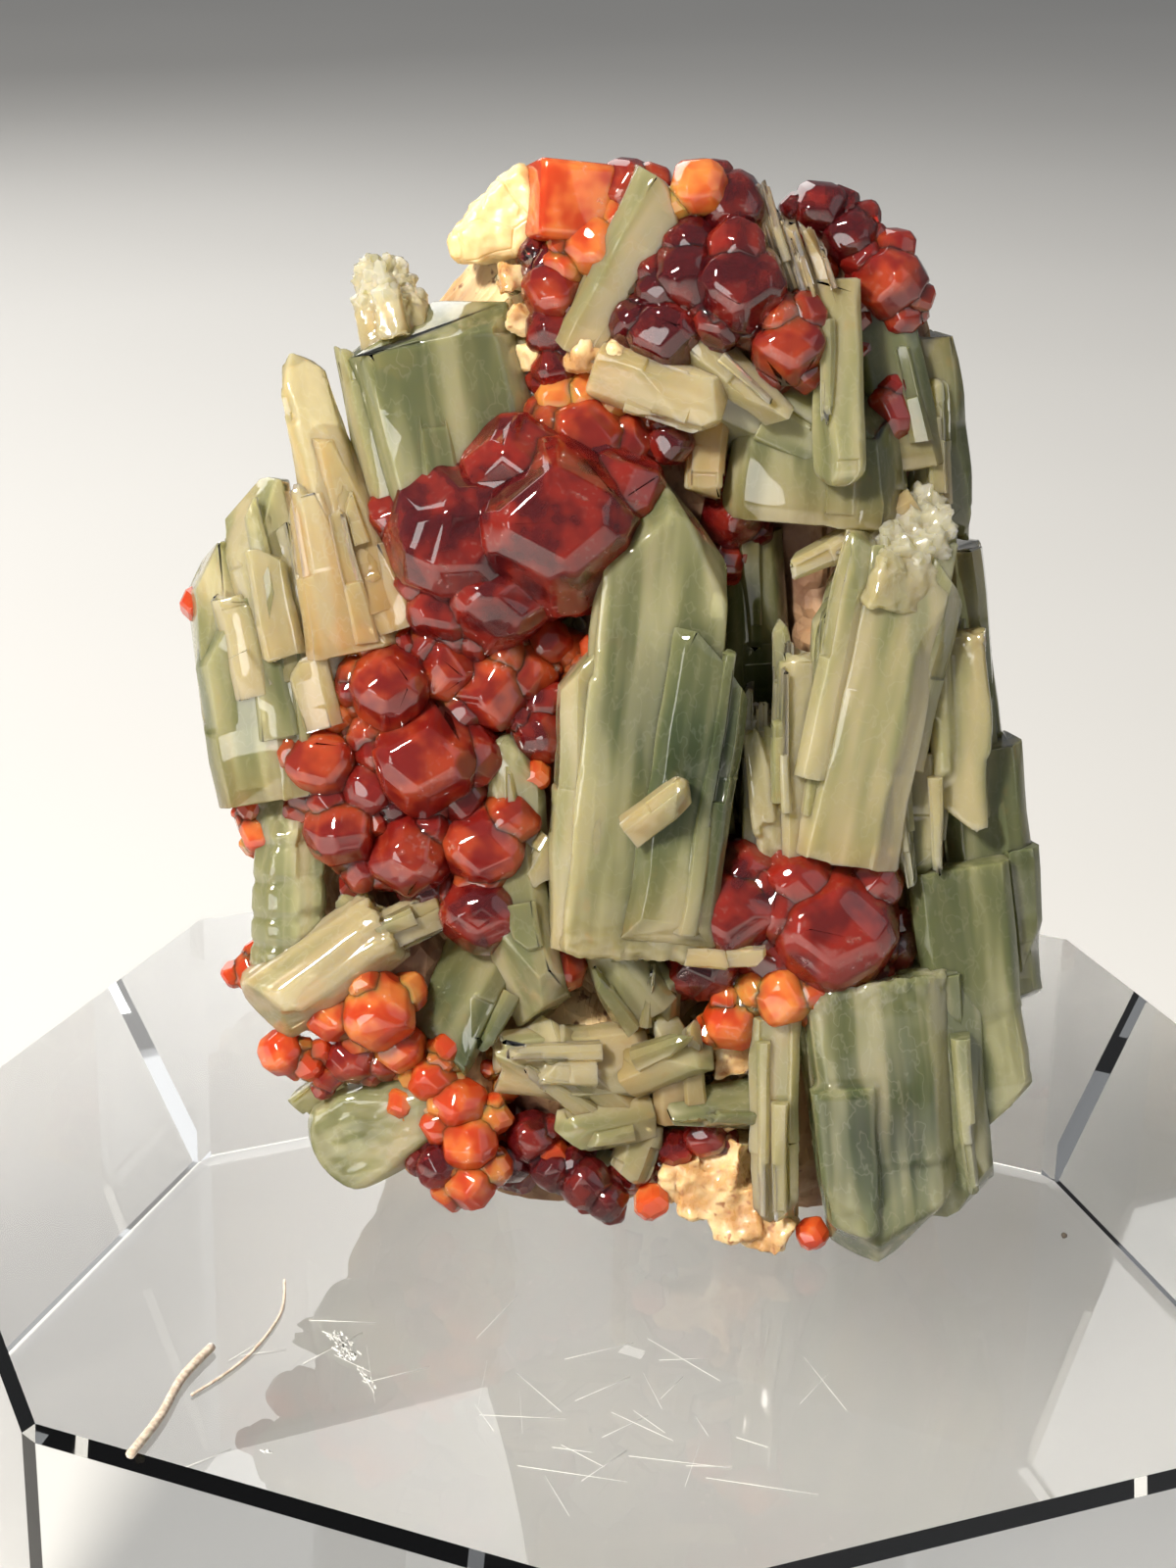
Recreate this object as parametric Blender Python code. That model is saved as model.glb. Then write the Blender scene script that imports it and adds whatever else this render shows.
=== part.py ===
"""Hessonite garnet and diopside crystals grown together, standing on a clear octagonal block.

The origin is the middle of the block's underside, the front looks along -Y and +Z is up.
Places on the specimen are read in millimetres: across to the right, height above the block,
and how far the thing stands proud of the specimen's leaning front.
"""

import bmesh
import bpy
import random
from math import cos, pi, radians
from mathutils import Matrix, Vector, noise

MM = 0.001

# The clear block, an octagon with one corner turned to the front
STAND_ACROSS_FLATS = 50 * MM
STAND_HEIGHT = 30 * MM
STAND_EDGE = 0.4 * MM
STAND_SIDES = 8

# The specimen stands on the block, a hair above it
REST_GAP = 0.3 * MM
FRONT_AT_FOOT = -7.0
FRONT_LEAN = 0.16

# The grown rock behind the crystals: height, left edge, right edge, front and back
ROCK_LEVELS = (
    (0.0, -7.5, 10.5, -6.4, 6.6),
    (3.0, -9.5, 11.5, -6.0, 7.4),
    (9.0, -11.5, 12.2, -4.8, 8.0),
    (15.0, -12.3, 11.4, -3.8, 8.2),
    (21.0, -11.8, 10.4, -3.0, 8.0),
    (27.0, -9.2, 9.4, -2.0, 7.4),
    (32.0, -6.5, 8.4, -1.2, 6.4),
    (36.0, -4.5, 6.0, -0.6, 5.0),
)
ROCK_SQUARENESS = 7.0
ROCK_GRAIN = 5.0
ROCK_ROUGHNESS = 0.9
ROCK_TOP = 35.0
ROCK_TOP_FALL = 0.55
ROCK_FINENESS = 4
MOUND_FINENESS = 2

# Mounds of rock that carry the crystals standing furthest out: across, height, proud, radius
ROCK_MOUNDS = (
    (-0.8, 13.0, -0.4, 3.6),
    (-0.8, 19.5, -0.8, 3.2),
    (-5.0, 23.5, -1.2, 3.6),
    (-11.0, 20.0, -2.4, 3.4),
    (-8.5, 16.5, -1.4, 3.8),
    (-8.5, 9.0, -1.2, 3.4),
    (-2.5, 6.0, -1.2, 3.2),
    (-7.0, 4.5, -1.6, 2.8),
    (6.5, 12.0, -1.0, 3.6),
    (7.0, 20.0, -1.6, 3.6),
    (8.6, 5.5, -0.8, 3.4),
    (3.4, 31.5, -1.0, 2.8),
    (4.6, 27.5, -1.6, 3.2),
    (-2.6, 32.5, -1.8, 2.8),
)

# Diopside, named by where it stands: foot, head, width and thickness
UPPER_LEFT_FAN = {
    "tabular_block": ((-6.5, 24.7, -0.4), (-7.6, 32.2, -1.5), 5.8, 3.5),
    "blade_beside_block": ((-8.1, 23.8, 0.0), (-9.4, 30.5, -1.2), 1.8, 1.8),
    "thin_blade": ((-9.0, 24.9, -0.5), (-10.2, 30.2, -1.5), 1.5, 1.8),
    "knob": ((-8.2, 28.7, -1.0), (-9.1, 32.6, -1.8), 2.0, 2.0),
    "spike": ((-8.8, 22.5, 0.0), (-12.1, 29.7, -1.2), 1.7, 1.8),
    "short_spike": ((-8.4, 22.9, 0.3), (-10.6, 27.7, -0.8), 2.2, 1.8),
}
LEFT_STEPS = {
    "highest_step": ((-11.0, 19.5, 0.0), (-13.6, 25.6, -1.0), 2.2, 2.4),
    "widest_step": ((-12.4, 16.5, 0.0), (-14.9, 23.3, -1.2), 2.6, 2.6),
    "outer_step": ((-12.9, 15.5, -0.5), (-15.5, 21.9, -1.6), 2.2, 2.4),
    "inner_step": ((-11.3, 16.3, 0.2), (-12.4, 22.6, -0.3), 3.0, 2.6),
}
CENTRE_BLADES = {
    "pointed_blade": ((-0.8, 11.5, 2.5), (0.3, 27.1, 2.2), 4.2, 3.0),
    "right_layer": ((0.4, 11.7, 2.4), (1.7, 22.1, 2.0), 3.2, 2.4),
    "left_layer": ((-2.0, 11.7, 2.0), (-2.0, 21.5, 1.6), 2.4, 2.2),
    "stub_behind": ((-4.0, 13.5, 0.5), (-3.9, 8.7, 1.8), 2.2, 2.0),
    "cream_piece": ((-4.4, 14.3, 0.2), (-4.6, 18.1, 0.2), 1.9, 1.8),
}
RIGHT_BUNDLE = {
    "thick_blade": ((7.6, 14.0, 1.0), (7.4, 26.5, 0.9), 4.5, 3.8),
    "left_rod": ((4.5, 13.8, 0.5), (3.9, 21.3, 0.2), 1.5, 2.0),
    "front_rod": ((6.1, 14.3, 1.4), (5.7, 24.4, 0.8), 2.0, 2.0),
    "hanging_rod": ((10.3, 21.6, 0.0), (10.6, 15.0, 0.6), 2.0, 2.4),
    "hanging_point": ((8.2, 16.7, 0.8), (8.9, 11.6, 1.0), 1.3, 1.6),
    "recess_blade": ((3.2, 23.7, -2.2), (4.2, 18.7, -2.4), 2.2, 2.4),
    "recess_rod": ((2.7, 20.6, -2.6), (3.9, 12.9, -2.4), 1.6, 2.0),
}
TOP_CRYSTALS = {
    "finger": ((5.3, 32.7, 0.4), (5.7, 26.9, 2.0), 1.6, 1.6),
    "nose": ((-1.1, 30.1, 0.2), (2.2, 28.8, 1.6), 1.9, 2.0),
    "second_nose": ((1.2, 30.4, 0.4), (4.3, 28.2, 1.4), 1.6, 1.8),
    "grey_slab": ((2.3, 27.3, -0.8), (8.3, 26.0, -0.4), 3.0, 3.0),
    "wide_grey_slab": ((5.1, 24.7, -0.2), (5.3, 29.7, -0.6), 6.0, 3.0),
    "dark_edge_blade": ((8.2, 26.8, -1.2), (6.9, 32.1, -1.2), 2.3, 2.4),
    "edge_strip": ((8.8, 25.6, -1.4), (8.6, 29.3, -1.4), 1.4, 1.8),
    "leaning_blade": ((-2.7, 30.8, 0.6), (0.7, 36.1, 0.4), 2.3, 2.0),
    "cream_splinter": ((3.7, 31.6, 0.4), (2.7, 35.7, 0.0), 0.9, 1.6),
    "short_splinter": ((5.3, 31.4, 0.4), (4.6, 34.7, 0.1), 0.9, 1.6),
    "golden_chip": ((1.6, 28.0, -0.4), (1.5, 25.9, 0.2), 1.3, 1.6),
    "cream_block": ((-4.3, 33.4, -1.4), (-6.3, 34.2, -1.4), 3.0, 3.0),
}
LOWER_LEFT = {
    "banded_rod": ((-11.9, 9.7, 0.5), (-12.1, 15.7, -0.4), 2.7, 2.7),
    "reaching_rod": ((-7.6, 11.8, 0.6), (-12.9, 8.4, 1.4), 2.4, 2.2),
    "thin_reaching_rod": ((-7.4, 11.9, 1.0), (-10.8, 10.5, 1.6), 1.3, 1.6),
    "fat_stub": ((-7.4, 5.4, -0.2), (-10.5, 3.1, 0.6), 3.2, 3.0),
    "dark_block": ((-5.3, 10.6, 0.0), (-7.3, 7.5, 0.8), 2.6, 2.4),
}
LOWER_MIDDLE = {
    "upper_blocky": ((-0.3, 8.7, 0.8), (-1.7, 12.0, 1.8), 2.6, 2.4),
    "spread_left": ((-0.2, 5.9, 0.0), (-5.6, 6.7, 1.2), 2.4, 2.4),
    "spread_low": ((-0.5, 4.2, 0.2), (-3.9, 5.1, 1.2), 2.0, 2.2),
    "spread_up": ((-1.9, 6.4, 0.4), (-0.6, 9.7, 1.5), 2.0, 2.2),
    "spread_right": ((-0.6, 7.0, 0.8), (1.9, 8.2, 1.6), 2.0, 2.2),
    "bluish_rod": ((3.8, 5.4, 0.4), (0.9, 6.0, 1.4), 1.9, 2.0),
    "ridged_stick": ((4.4, 8.7, 1.0), (4.6, 0.3, 0.5), 1.9, 2.2),
}
LOWER_RIGHT = {
    "broad_blade": ((7.3, 9.7, 1.1), (8.6, 0.1, 1.2), 5.4, 3.4),
    "blade_behind": ((10.0, 10.0, 0.8), (11.0, 1.6, 0.8), 2.5, 2.8),
    "corner_blade": ((10.1, 14.5, -0.8), (11.9, 3.3, -0.4), 3.5, 3.4),
    "flank_blade": ((10.6, 17.2, -1.8), (12.2, 6.9, -1.4), 3.0, 3.0),
    "middle_flank_blade": ((9.4, 23.5, -2.8), (10.9, 14.2, -2.4), 3.0, 3.0),
    "top_flank_blade": ((8.2, 30.4, -2.4), (9.2, 24.2, -2.6), 2.5, 2.6),
}
DIOPSIDE_GROUPS = (
    UPPER_LEFT_FAN,
    LEFT_STEPS,
    CENTRE_BLADES,
    RIGHT_BUNDLE,
    TOP_CRYSTALS,
    LOWER_LEFT,
    LOWER_MIDDLE,
    LOWER_RIGHT,
)

# Diopside on the back, hidden in the photograph: across, height, lean, length and width
BACK_BLADES = (
    (-6.0, 7.0, 12, 12.0, 3.4),
    (-2.2, 3.5, -4, 13.0, 2.8),
    (4.0, 8.5, -16, 13.0, 4.2),
    (7.5, 15.0, 6, 11.0, 3.0),
    (-7.5, 18.0, 24, 8.5, 3.0),
    (0.8, 20.0, 2, 11.0, 3.4),
    (7.0, 3.0, 20, 7.0, 3.0),
)
BACK_GARNETS = (
    (-3.0, 19.0, 3.6),
    (-5.2, 21.5, 2.6),
    (4.4, 5.6, 3.0),
    (-8.6, 12.0, 2.8),
    (4.0, 25.6, 2.6),
)
BACK_DEPTH = 8.2
BACK_SLOPE = -0.05
BACK_THICKNESS = 2.6

# Garnets of more than two millimetres: across, height, proud and size
UPPER_GARNETS = {
    "great_left": (-6.5, 24.5, 0.6, 4.8),
    "great_right": (-3.3, 25.1, 1.4, 5.3),
    "below_great": (-5.3, 22.5, 0.8, 3.5),
    "low_facet": (-7.0, 22.1, 0.8, 2.6),
    "above_great": (-2.4, 27.6, 0.0, 2.9),
}
TOP_GARNETS = {
    "orange_square": (-3.2, 34.6, 0.4, 2.7),
    "orange_red": (-2.5, 33.6, 0.0, 2.2),
    "pink_tip": (1.1, 35.6, 0.6, 2.0),
    "dark_behind": (2.1, 34.6, 0.0, 2.6),
    "glossy": (2.4, 32.8, 1.4, 2.9),
    "dark_beside": (0.7, 32.9, 0.8, 2.6),
    "mauve": (0.1, 31.2, 0.8, 2.6),
    "pale_faced": (4.0, 31.0, 1.2, 2.4),
    "right_red": (6.9, 32.2, -0.8, 2.4),
}
MIDDLE_GARNETS = {
    "bright_faced": (-7.5, 17.3, 1.2, 3.4),
    "striped": (-11.0, 16.9, 0.6, 2.4),
    "low_left": (-10.3, 14.7, 0.6, 2.6),
    "low_middle": (-8.0, 13.9, 0.8, 2.8),
    "high": (-8.6, 19.6, 1.0, 2.8),
    "behind": (-6.9, 20.1, 0.5, 2.6),
    "second_behind": (-5.4, 19.4, 0.4, 2.8),
    "red_right": (-5.4, 14.3, 0.7, 2.8),
    "dark_right": (-5.6, 12.0, 0.9, 2.8),
}
LOWER_GARNETS = {
    "pair_left": (2.7, 12.9, 1.7, 3.0),
    "pair_right": (6.5, 12.4, 1.4, 3.8),
    "pair_low": (1.7, 10.6, 0.8, 2.6),
    "pair_low_right": (6.9, 10.2, 0.8, 2.8),
    "pair_middle": (4.6, 12.3, 1.2, 2.6),
    "pair_orange": (4.5, 9.7, 1.7, 2.4),
    "left_lump": (-9.0, 8.7, 1.2, 2.5),
    "column": (-6.1, 4.4, 0.8, 2.4),
    "foot": (-1.8, 2.8, 0.2, 2.2),
}
GARNET_GROUPS = (UPPER_GARNETS, TOP_GARNETS, MIDDLE_GARNETS, LOWER_GARNETS)

GREEN_DIOPSIDE = (0.42, 0.46, 0.30, 1.0)
CLEAR_ACRYLIC = (0.92, 0.93, 0.92, 1.0)


def clear_the_scene():
    """Take away whatever the scene starts with."""
    for item in list(bpy.data.objects):
        bpy.data.objects.remove(item, do_unlink=True)


def plain_material(name, colour, roughness, transmission=0.0, ior=1.45):
    """A Principled material of one colour."""
    material = bpy.data.materials.new(name)
    material.use_nodes = True
    surface = material.node_tree.nodes["Principled BSDF"]
    surface.inputs["Base Color"].default_value = colour
    surface.inputs["Metallic"].default_value = 0.0
    surface.inputs["Roughness"].default_value = roughness
    surface.inputs["Transmission Weight"].default_value = transmission
    surface.inputs["IOR"].default_value = ior
    return material


def object_from(bm, name, material=None):
    """Turn a finished bmesh into an object at the origin."""
    mesh = bpy.data.meshes.new(name)
    bmesh.ops.recalc_face_normals(bm, faces=bm.faces)
    bm.to_mesh(mesh)
    bm.free()
    if material:
        mesh.materials.append(material)
    item = bpy.data.objects.new(name, mesh)
    bpy.context.scene.collection.objects.link(item)
    return item


def on_front(across, height, proud):
    """A point on the specimen's leaning front, in metres in the part's own frame."""
    depth = FRONT_AT_FOOT + FRONT_LEAN * height - proud
    return Vector((across * MM, depth * MM, height * MM + STAND_HEIGHT))


def between(levels, height):
    """The rock's edges at a height, blended between the levels above and below."""
    low = levels[0]
    for high in levels[1:]:
        if height <= high[0]:
            share = max(0.0, (height - low[0]) / (high[0] - low[0]))
            return [a + (b - a) * share for a, b in zip(low[1:], high[1:])]
        low = high
    return list(levels[-1][1:])


def add_rock(growth):
    """The rock that everything grew on: a blunt block whose faces follow the levels."""
    bottom = ROCK_LEVELS[0][0]
    top = ROCK_LEVELS[-1][0]
    ball = bmesh.ops.create_icosphere(growth, subdivisions=ROCK_FINENESS, radius=1.0)
    for vert in ball["verts"]:
        unit = vert.co.copy()
        reach = sum(abs(side) ** ROCK_SQUARENESS for side in unit) ** (1 / ROCK_SQUARENESS)
        unit /= reach
        height = bottom + (top - bottom) * (unit.z + 1) / 2
        left, right, front, back = between(ROCK_LEVELS, height)
        across = (left + right) / 2 + unit.x * (right - left) / 2
        depth = (front + back) / 2 + unit.y * (back - front) / 2
        place = Vector((across, depth, height))
        place.z = min(place.z, ROCK_TOP - ROCK_TOP_FALL * (place.y - ROCK_LEVELS[-1][3]))
        place += noise.noise_vector(place / ROCK_GRAIN) * ROCK_ROUGHNESS
        place.z = max(place.z, bottom)
        vert.co = place * MM + Vector((0, 0, STAND_HEIGHT))
    for across, height, proud, radius in ROCK_MOUNDS:
        place = Matrix.Translation(on_front(across, height, proud))
        bmesh.ops.create_icosphere(
            growth, subdivisions=MOUND_FINENESS, radius=radius * MM, matrix=place
        )


def cut_back(bm, point, normal):
    """Slice off what lies beyond a plane and close the cut."""
    everything = bm.verts[:] + bm.edges[:] + bm.faces[:]
    bmesh.ops.bisect_plane(
        bm, geom=everything, plane_co=point, plane_no=normal, clear_outer=True, dist=1e-7
    )
    bmesh.ops.holes_fill(bm, edges=[edge for edge in bm.edges if edge.is_boundary])


def add_diopside(growth, foot, head, width, thickness, turn, rng):
    """A diopside prism: a flat box with its long edges cut off and a sloping head."""
    along = head - foot
    length = along.length
    prism = bmesh.new()
    bmesh.ops.create_cube(prism, size=1.0)
    bmesh.ops.scale(prism, vec=(width, thickness, length), verts=prism.verts)
    bmesh.ops.translate(prism, vec=(0, 0, length / 2), verts=prism.verts)
    upright = [edge for edge in prism.edges if edge.calc_length() > length * 0.99]
    bmesh.ops.bevel(
        prism,
        geom=upright,
        offset=min(width, thickness) * rng.uniform(0.20, 0.30),
        offset_type="OFFSET",
        affect="EDGES",
        segments=1,
        profile=0.5,
        material=-1,
    )
    slope = rng.choice((-1, 1)) * rng.uniform(0.3, 0.8)
    cut_back(prism, Vector((0, 0, length * 0.93)), Vector((slope, rng.uniform(-0.5, 0.1), 1)))
    along.normalize()
    across = along.cross(Vector((0, 1, 0))).normalized()
    out = along.cross(across)
    place = Matrix((across, out, along)).transposed().to_4x4() @ Matrix.Rotation(turn, 4, "Z")
    place.translation = foot
    bmesh.ops.transform(prism, matrix=place, verts=prism.verts)
    add_shape(growth, prism)


def add_garnet(growth, centre, size, rng):
    """A garnet crystal: twelve diamond faces, turned its own way."""
    crystal = bmesh.new()
    half = size / 4
    for x in (-half, half):
        for y in (-half, half):
            for z in (-half, half):
                bmesh.ops.create_vert(crystal, co=(x, y, z))
    for axis in range(3):
        for side in (-2 * half, 2 * half):
            tip = [0.0, 0.0, 0.0]
            tip[axis] = side
            bmesh.ops.create_vert(crystal, co=tip)
    bmesh.ops.convex_hull(crystal, input=crystal.verts)
    bmesh.ops.dissolve_limit(
        crystal, angle_limit=radians(2), verts=crystal.verts, edges=crystal.edges
    )
    turn = Matrix.Rotation(rng.uniform(0, 2 * pi), 4, "Z")
    turn = turn @ Matrix.Rotation(rng.uniform(0, pi), 4, "X")
    turn.translation = centre
    bmesh.ops.transform(crystal, matrix=turn, verts=crystal.verts)
    add_shape(growth, crystal)


def add_shape(growth, shape):
    """Put a finished shape among the others."""
    mesh = bpy.data.meshes.new("shape")
    bmesh.ops.recalc_face_normals(shape, faces=shape.faces)
    shape.to_mesh(mesh)
    shape.free()
    growth.from_mesh(mesh)
    bpy.data.meshes.remove(mesh)


def on_back(across, height):
    """A point on the specimen's back, in metres in the part's own frame."""
    depth = BACK_DEPTH + BACK_SLOPE * height
    return Vector((across * MM, depth * MM, height * MM + STAND_HEIGHT))


def add_back(growth, rng):
    """Diopside lying against the back, each blade leaning its own way, and a few garnets."""
    for across, height, lean, length, width in BACK_BLADES:
        foot = on_back(across, height)
        along = Matrix.Rotation(radians(lean), 3, "Y") @ Vector((0, BACK_SLOPE, 1))
        head = foot + along * length * MM
        add_diopside(growth, foot, head, width * MM, BACK_THICKNESS * MM, 0.0, rng)
    for across, height, size in BACK_GARNETS:
        add_garnet(growth, on_back(across, height), size * MM, rng)


def outer_shell(item):
    """The joined solid's outside: gaps shut in between the crystals are filled with rock."""
    view = bpy.context.evaluated_depsgraph_get()
    joined = bpy.data.meshes.new_from_object(item.evaluated_get(view))
    bm = bmesh.new()
    bm.from_mesh(joined)
    waiting = set(bm.faces)
    shells = []
    while waiting:
        edge_of_shell = [waiting.pop()]
        shell = list(edge_of_shell)
        while edge_of_shell:
            face = edge_of_shell.pop()
            for edge in face.edges:
                for neighbour in edge.link_faces:
                    if neighbour in waiting:
                        waiting.remove(neighbour)
                        edge_of_shell.append(neighbour)
                        shell.append(neighbour)
        shells.append(shell)
    shells.sort(key=len)
    for shell in shells[:-1]:
        bmesh.ops.delete(bm, geom=shell, context="FACES")
    bm.to_mesh(joined)
    bm.free()
    return joined


def make_specimen():
    """Join the rock, the diopside and the garnets into the one grown solid."""
    rng = random.Random(11)
    growth = bmesh.new()
    for group in DIOPSIDE_GROUPS:
        for foot, head, width, thickness in group.values():
            turn = radians(rng.uniform(-14, 14))
            foot_point = on_front(*foot)
            head_point = on_front(*head)
            add_diopside(
                growth, foot_point, head_point, width * MM, thickness * MM, turn, rng
            )
    add_back(growth, rng)
    for group in GARNET_GROUPS:
        for across, height, proud, size in group.values():
            add_garnet(growth, on_front(across, height, proud), size * MM, rng)
    add_rock(growth)
    crystals = object_from(growth, "crystals_before_joining")
    crystals.hide_render = True
    crystals.display_type = "WIRE"

    limit = bmesh.new()
    bmesh.ops.create_cube(limit, size=2 * STAND_ACROSS_FLATS)
    lift = Vector((0, 0, STAND_HEIGHT + REST_GAP + STAND_ACROSS_FLATS))
    bmesh.ops.translate(limit, vec=lift, verts=limit.verts)
    material = plain_material("diopside_and_garnet", GREEN_DIOPSIDE, 0.35)
    specimen = object_from(limit, "specimen", material)
    join = specimen.modifiers.new("grown together above the block", "BOOLEAN")
    join.operation = "INTERSECT"
    join.solver = "EXACT"
    join.use_self = True
    join.object = crystals
    specimen.data = outer_shell(specimen)
    specimen.modifiers.remove(join)
    bpy.data.objects.remove(crystals, do_unlink=True)
    return specimen


def make_stand():
    """The clear block: a straight octagon with its edges lightly bevelled."""
    bm = bmesh.new()
    radius = STAND_ACROSS_FLATS / 2 / cos(pi / STAND_SIDES)
    bmesh.ops.create_cone(
        bm,
        cap_ends=True,
        segments=STAND_SIDES,
        radius1=radius,
        radius2=radius,
        depth=STAND_HEIGHT,
    )
    bmesh.ops.translate(bm, vec=(0, 0, STAND_HEIGHT / 2), verts=bm.verts)
    bmesh.ops.bevel(
        bm,
        geom=bm.edges[:],
        offset=STAND_EDGE,
        offset_type="OFFSET",
        affect="EDGES",
        segments=1,
        profile=0.5,
        material=-1,
    )
    return object_from(bm, "stand", plain_material("clear_acrylic", CLEAR_ACRYLIC, 0.05, 1.0, 1.49))


clear_the_scene()
make_stand()
make_specimen()
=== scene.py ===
import random
from math import cos, exp, pi, radians, sin, sqrt

import bmesh
import bpy
from mathutils import Matrix, Vector, noise
from mathutils.bvhtree import BVHTree


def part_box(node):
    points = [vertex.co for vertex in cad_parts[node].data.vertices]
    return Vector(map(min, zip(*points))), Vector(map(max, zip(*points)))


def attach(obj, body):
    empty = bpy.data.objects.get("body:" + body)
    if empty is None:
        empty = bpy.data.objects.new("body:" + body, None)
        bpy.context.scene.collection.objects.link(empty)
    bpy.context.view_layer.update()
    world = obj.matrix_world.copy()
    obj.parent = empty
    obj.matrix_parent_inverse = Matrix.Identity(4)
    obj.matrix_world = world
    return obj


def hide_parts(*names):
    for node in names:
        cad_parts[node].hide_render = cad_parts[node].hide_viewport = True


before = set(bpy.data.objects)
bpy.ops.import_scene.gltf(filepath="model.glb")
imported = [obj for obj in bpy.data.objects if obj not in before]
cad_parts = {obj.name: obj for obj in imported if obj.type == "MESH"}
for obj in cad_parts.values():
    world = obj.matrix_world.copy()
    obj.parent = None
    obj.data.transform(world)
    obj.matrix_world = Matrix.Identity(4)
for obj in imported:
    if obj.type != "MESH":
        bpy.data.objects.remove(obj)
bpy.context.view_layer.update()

# The clear block. The real one is cast acrylic, cut to an octagon and polished, with its
# edges lightly broken and its top a little dulled by handling. The frame holds its shape,
# so only the finish is made here.
MM = 0.001
BLOCK_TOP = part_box("stand")[1][2]
ACRYLIC_IOR = 1.49
ACRYLIC_TINT = (0.96, 0.985, 0.975, 1.0)
ACRYLIC_ABSORPTION = 6.0


def add_node(tree, kind, inputs=None, **settings):
    """Add a shader node. An input is a plain value or another node's output to link."""
    node = tree.nodes.new(kind)
    for name, value in settings.items():
        setattr(node, name, value)
    for name, value in (inputs or {}).items():
        if isinstance(value, bpy.types.NodeSocket):
            tree.links.new(value, node.inputs[name])
        else:
            node.inputs[name].default_value = value
    return node


def new_material(name, inputs):
    """A Principled material with plain socket values, its tree and its shader."""
    material = bpy.data.materials.new(name)
    material.use_nodes = True
    tree = material.node_tree
    shader = tree.nodes["Principled BSDF"]
    for socket, value in inputs.items():
        shader.inputs[socket].default_value = value
    return material, tree, shader


def noise_of(tree, place, scale, detail=3.0, stretch=None, distortion=0.0):
    """A noise value in a space that may be stretched or squeezed along its axes."""
    if stretch:
        place = add_node(
            tree, "ShaderNodeMapping", {"Vector": place, "Scale": stretch}
        ).outputs["Vector"]
    node = add_node(
        tree,
        "ShaderNodeTexNoise",
        {"Vector": place, "Scale": scale, "Detail": detail, "Distortion": distortion},
    )
    return node.outputs["Fac"]


def ramp(tree, value, low, high, floor=0.0, ceiling=1.0):
    """A value's stretch between low and high, spread smoothly over floor to ceiling."""
    node = add_node(
        tree,
        "ShaderNodeMapRange",
        {
            "Value": value,
            "From Min": low,
            "From Max": high,
            "To Min": floor,
            "To Max": ceiling,
        },
        interpolation_type="SMOOTHSTEP",
    )
    return node.outputs["Result"]


def combine(tree, operation, first, second):
    """Two values put together by one sum."""
    node = add_node(tree, "ShaderNodeMath", {0: first, 1: second}, operation=operation)
    return node.outputs["Value"]


def mix_colour(tree, share, first, second):
    """Blend two colours, plain or linked, by a share."""
    node = add_node(tree, "ShaderNodeMix", {"Factor": share}, data_type="RGBA")
    for socket, colour in ((node.inputs[6], first), (node.inputs[7], second)):
        if isinstance(colour, bpy.types.NodeSocket):
            tree.links.new(colour, socket)
        else:
            socket.default_value = (*colour, 1.0)
    return node.outputs[2]


def raise_surface(tree, shader, height, strength, distance):
    """Give a surface fine relief, with its depth in metres."""
    bump = add_node(
        tree, "ShaderNodeBump", {"Height": height, "Strength": strength, "Distance": distance}
    )
    tree.links.new(bump.outputs["Normal"], shader.inputs["Normal"])


def absorb(tree, colour, density):
    """Tint light by the way it travels inside a see-through piece."""
    volume = add_node(tree, "ShaderNodeVolumeAbsorption", {"Color": colour, "Density": density})
    output = tree.nodes["Material Output"]
    tree.links.new(volume.outputs["Volume"], output.inputs["Volume"])


def acrylic_finish():
    """Polished clear acrylic, faintly dulled in soft patches where it was wiped."""
    material, tree, shader = new_material(
        "polished_acrylic",
        {
            "Base Color": (1.0, 1.0, 1.0, 1.0),
            "IOR": ACRYLIC_IOR,
            "Transmission Weight": 1.0,
        },
    )
    place = add_node(tree, "ShaderNodeTexCoord").outputs["Object"]
    dulled = noise_of(tree, place, 110.0, 1.0)
    tree.links.new(ramp(tree, dulled, 0.55, 0.80, 0.0, 0.06), shader.inputs["Roughness"])
    absorb(tree, ACRYLIC_TINT, ACRYLIC_ABSORPTION)
    return material


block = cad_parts["stand"]
block.data.materials.clear()
block.data.materials.append(acrylic_finish())

# The rock. Garnet and diopside grow on a crust of cream to brown calc-silicate rock, fine
# grained and crumbly. Little of it shows in front, and most of the back is rock.
FRONT_AT_FOOT = -7.0
FRONT_LEAN = 0.16
REST_GAP = 0.3
ROCK_LEVELS = (
    (0.0, -7.5, 10.5, -6.4, 6.6),
    (3.0, -9.5, 11.5, -6.0, 7.4),
    (9.0, -11.5, 12.2, -4.8, 8.0),
    (15.0, -12.3, 11.4, -3.8, 8.2),
    (21.0, -11.8, 10.4, -3.0, 8.0),
    (27.0, -9.2, 9.4, -2.0, 7.4),
    (32.0, -6.5, 8.4, -1.2, 6.4),
    (36.0, -4.5, 6.0, -0.6, 5.0),
)
ROCK_SQUARENESS = 7.0
ROCK_TOP = 35.0
ROCK_TOP_FALL = 0.55
ROCK_FINENESS = 7
ROCK_LUMPS = ((5.0, 0.9), (2.2, 0.45), (0.9, 0.22), (0.35, 0.10))
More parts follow.
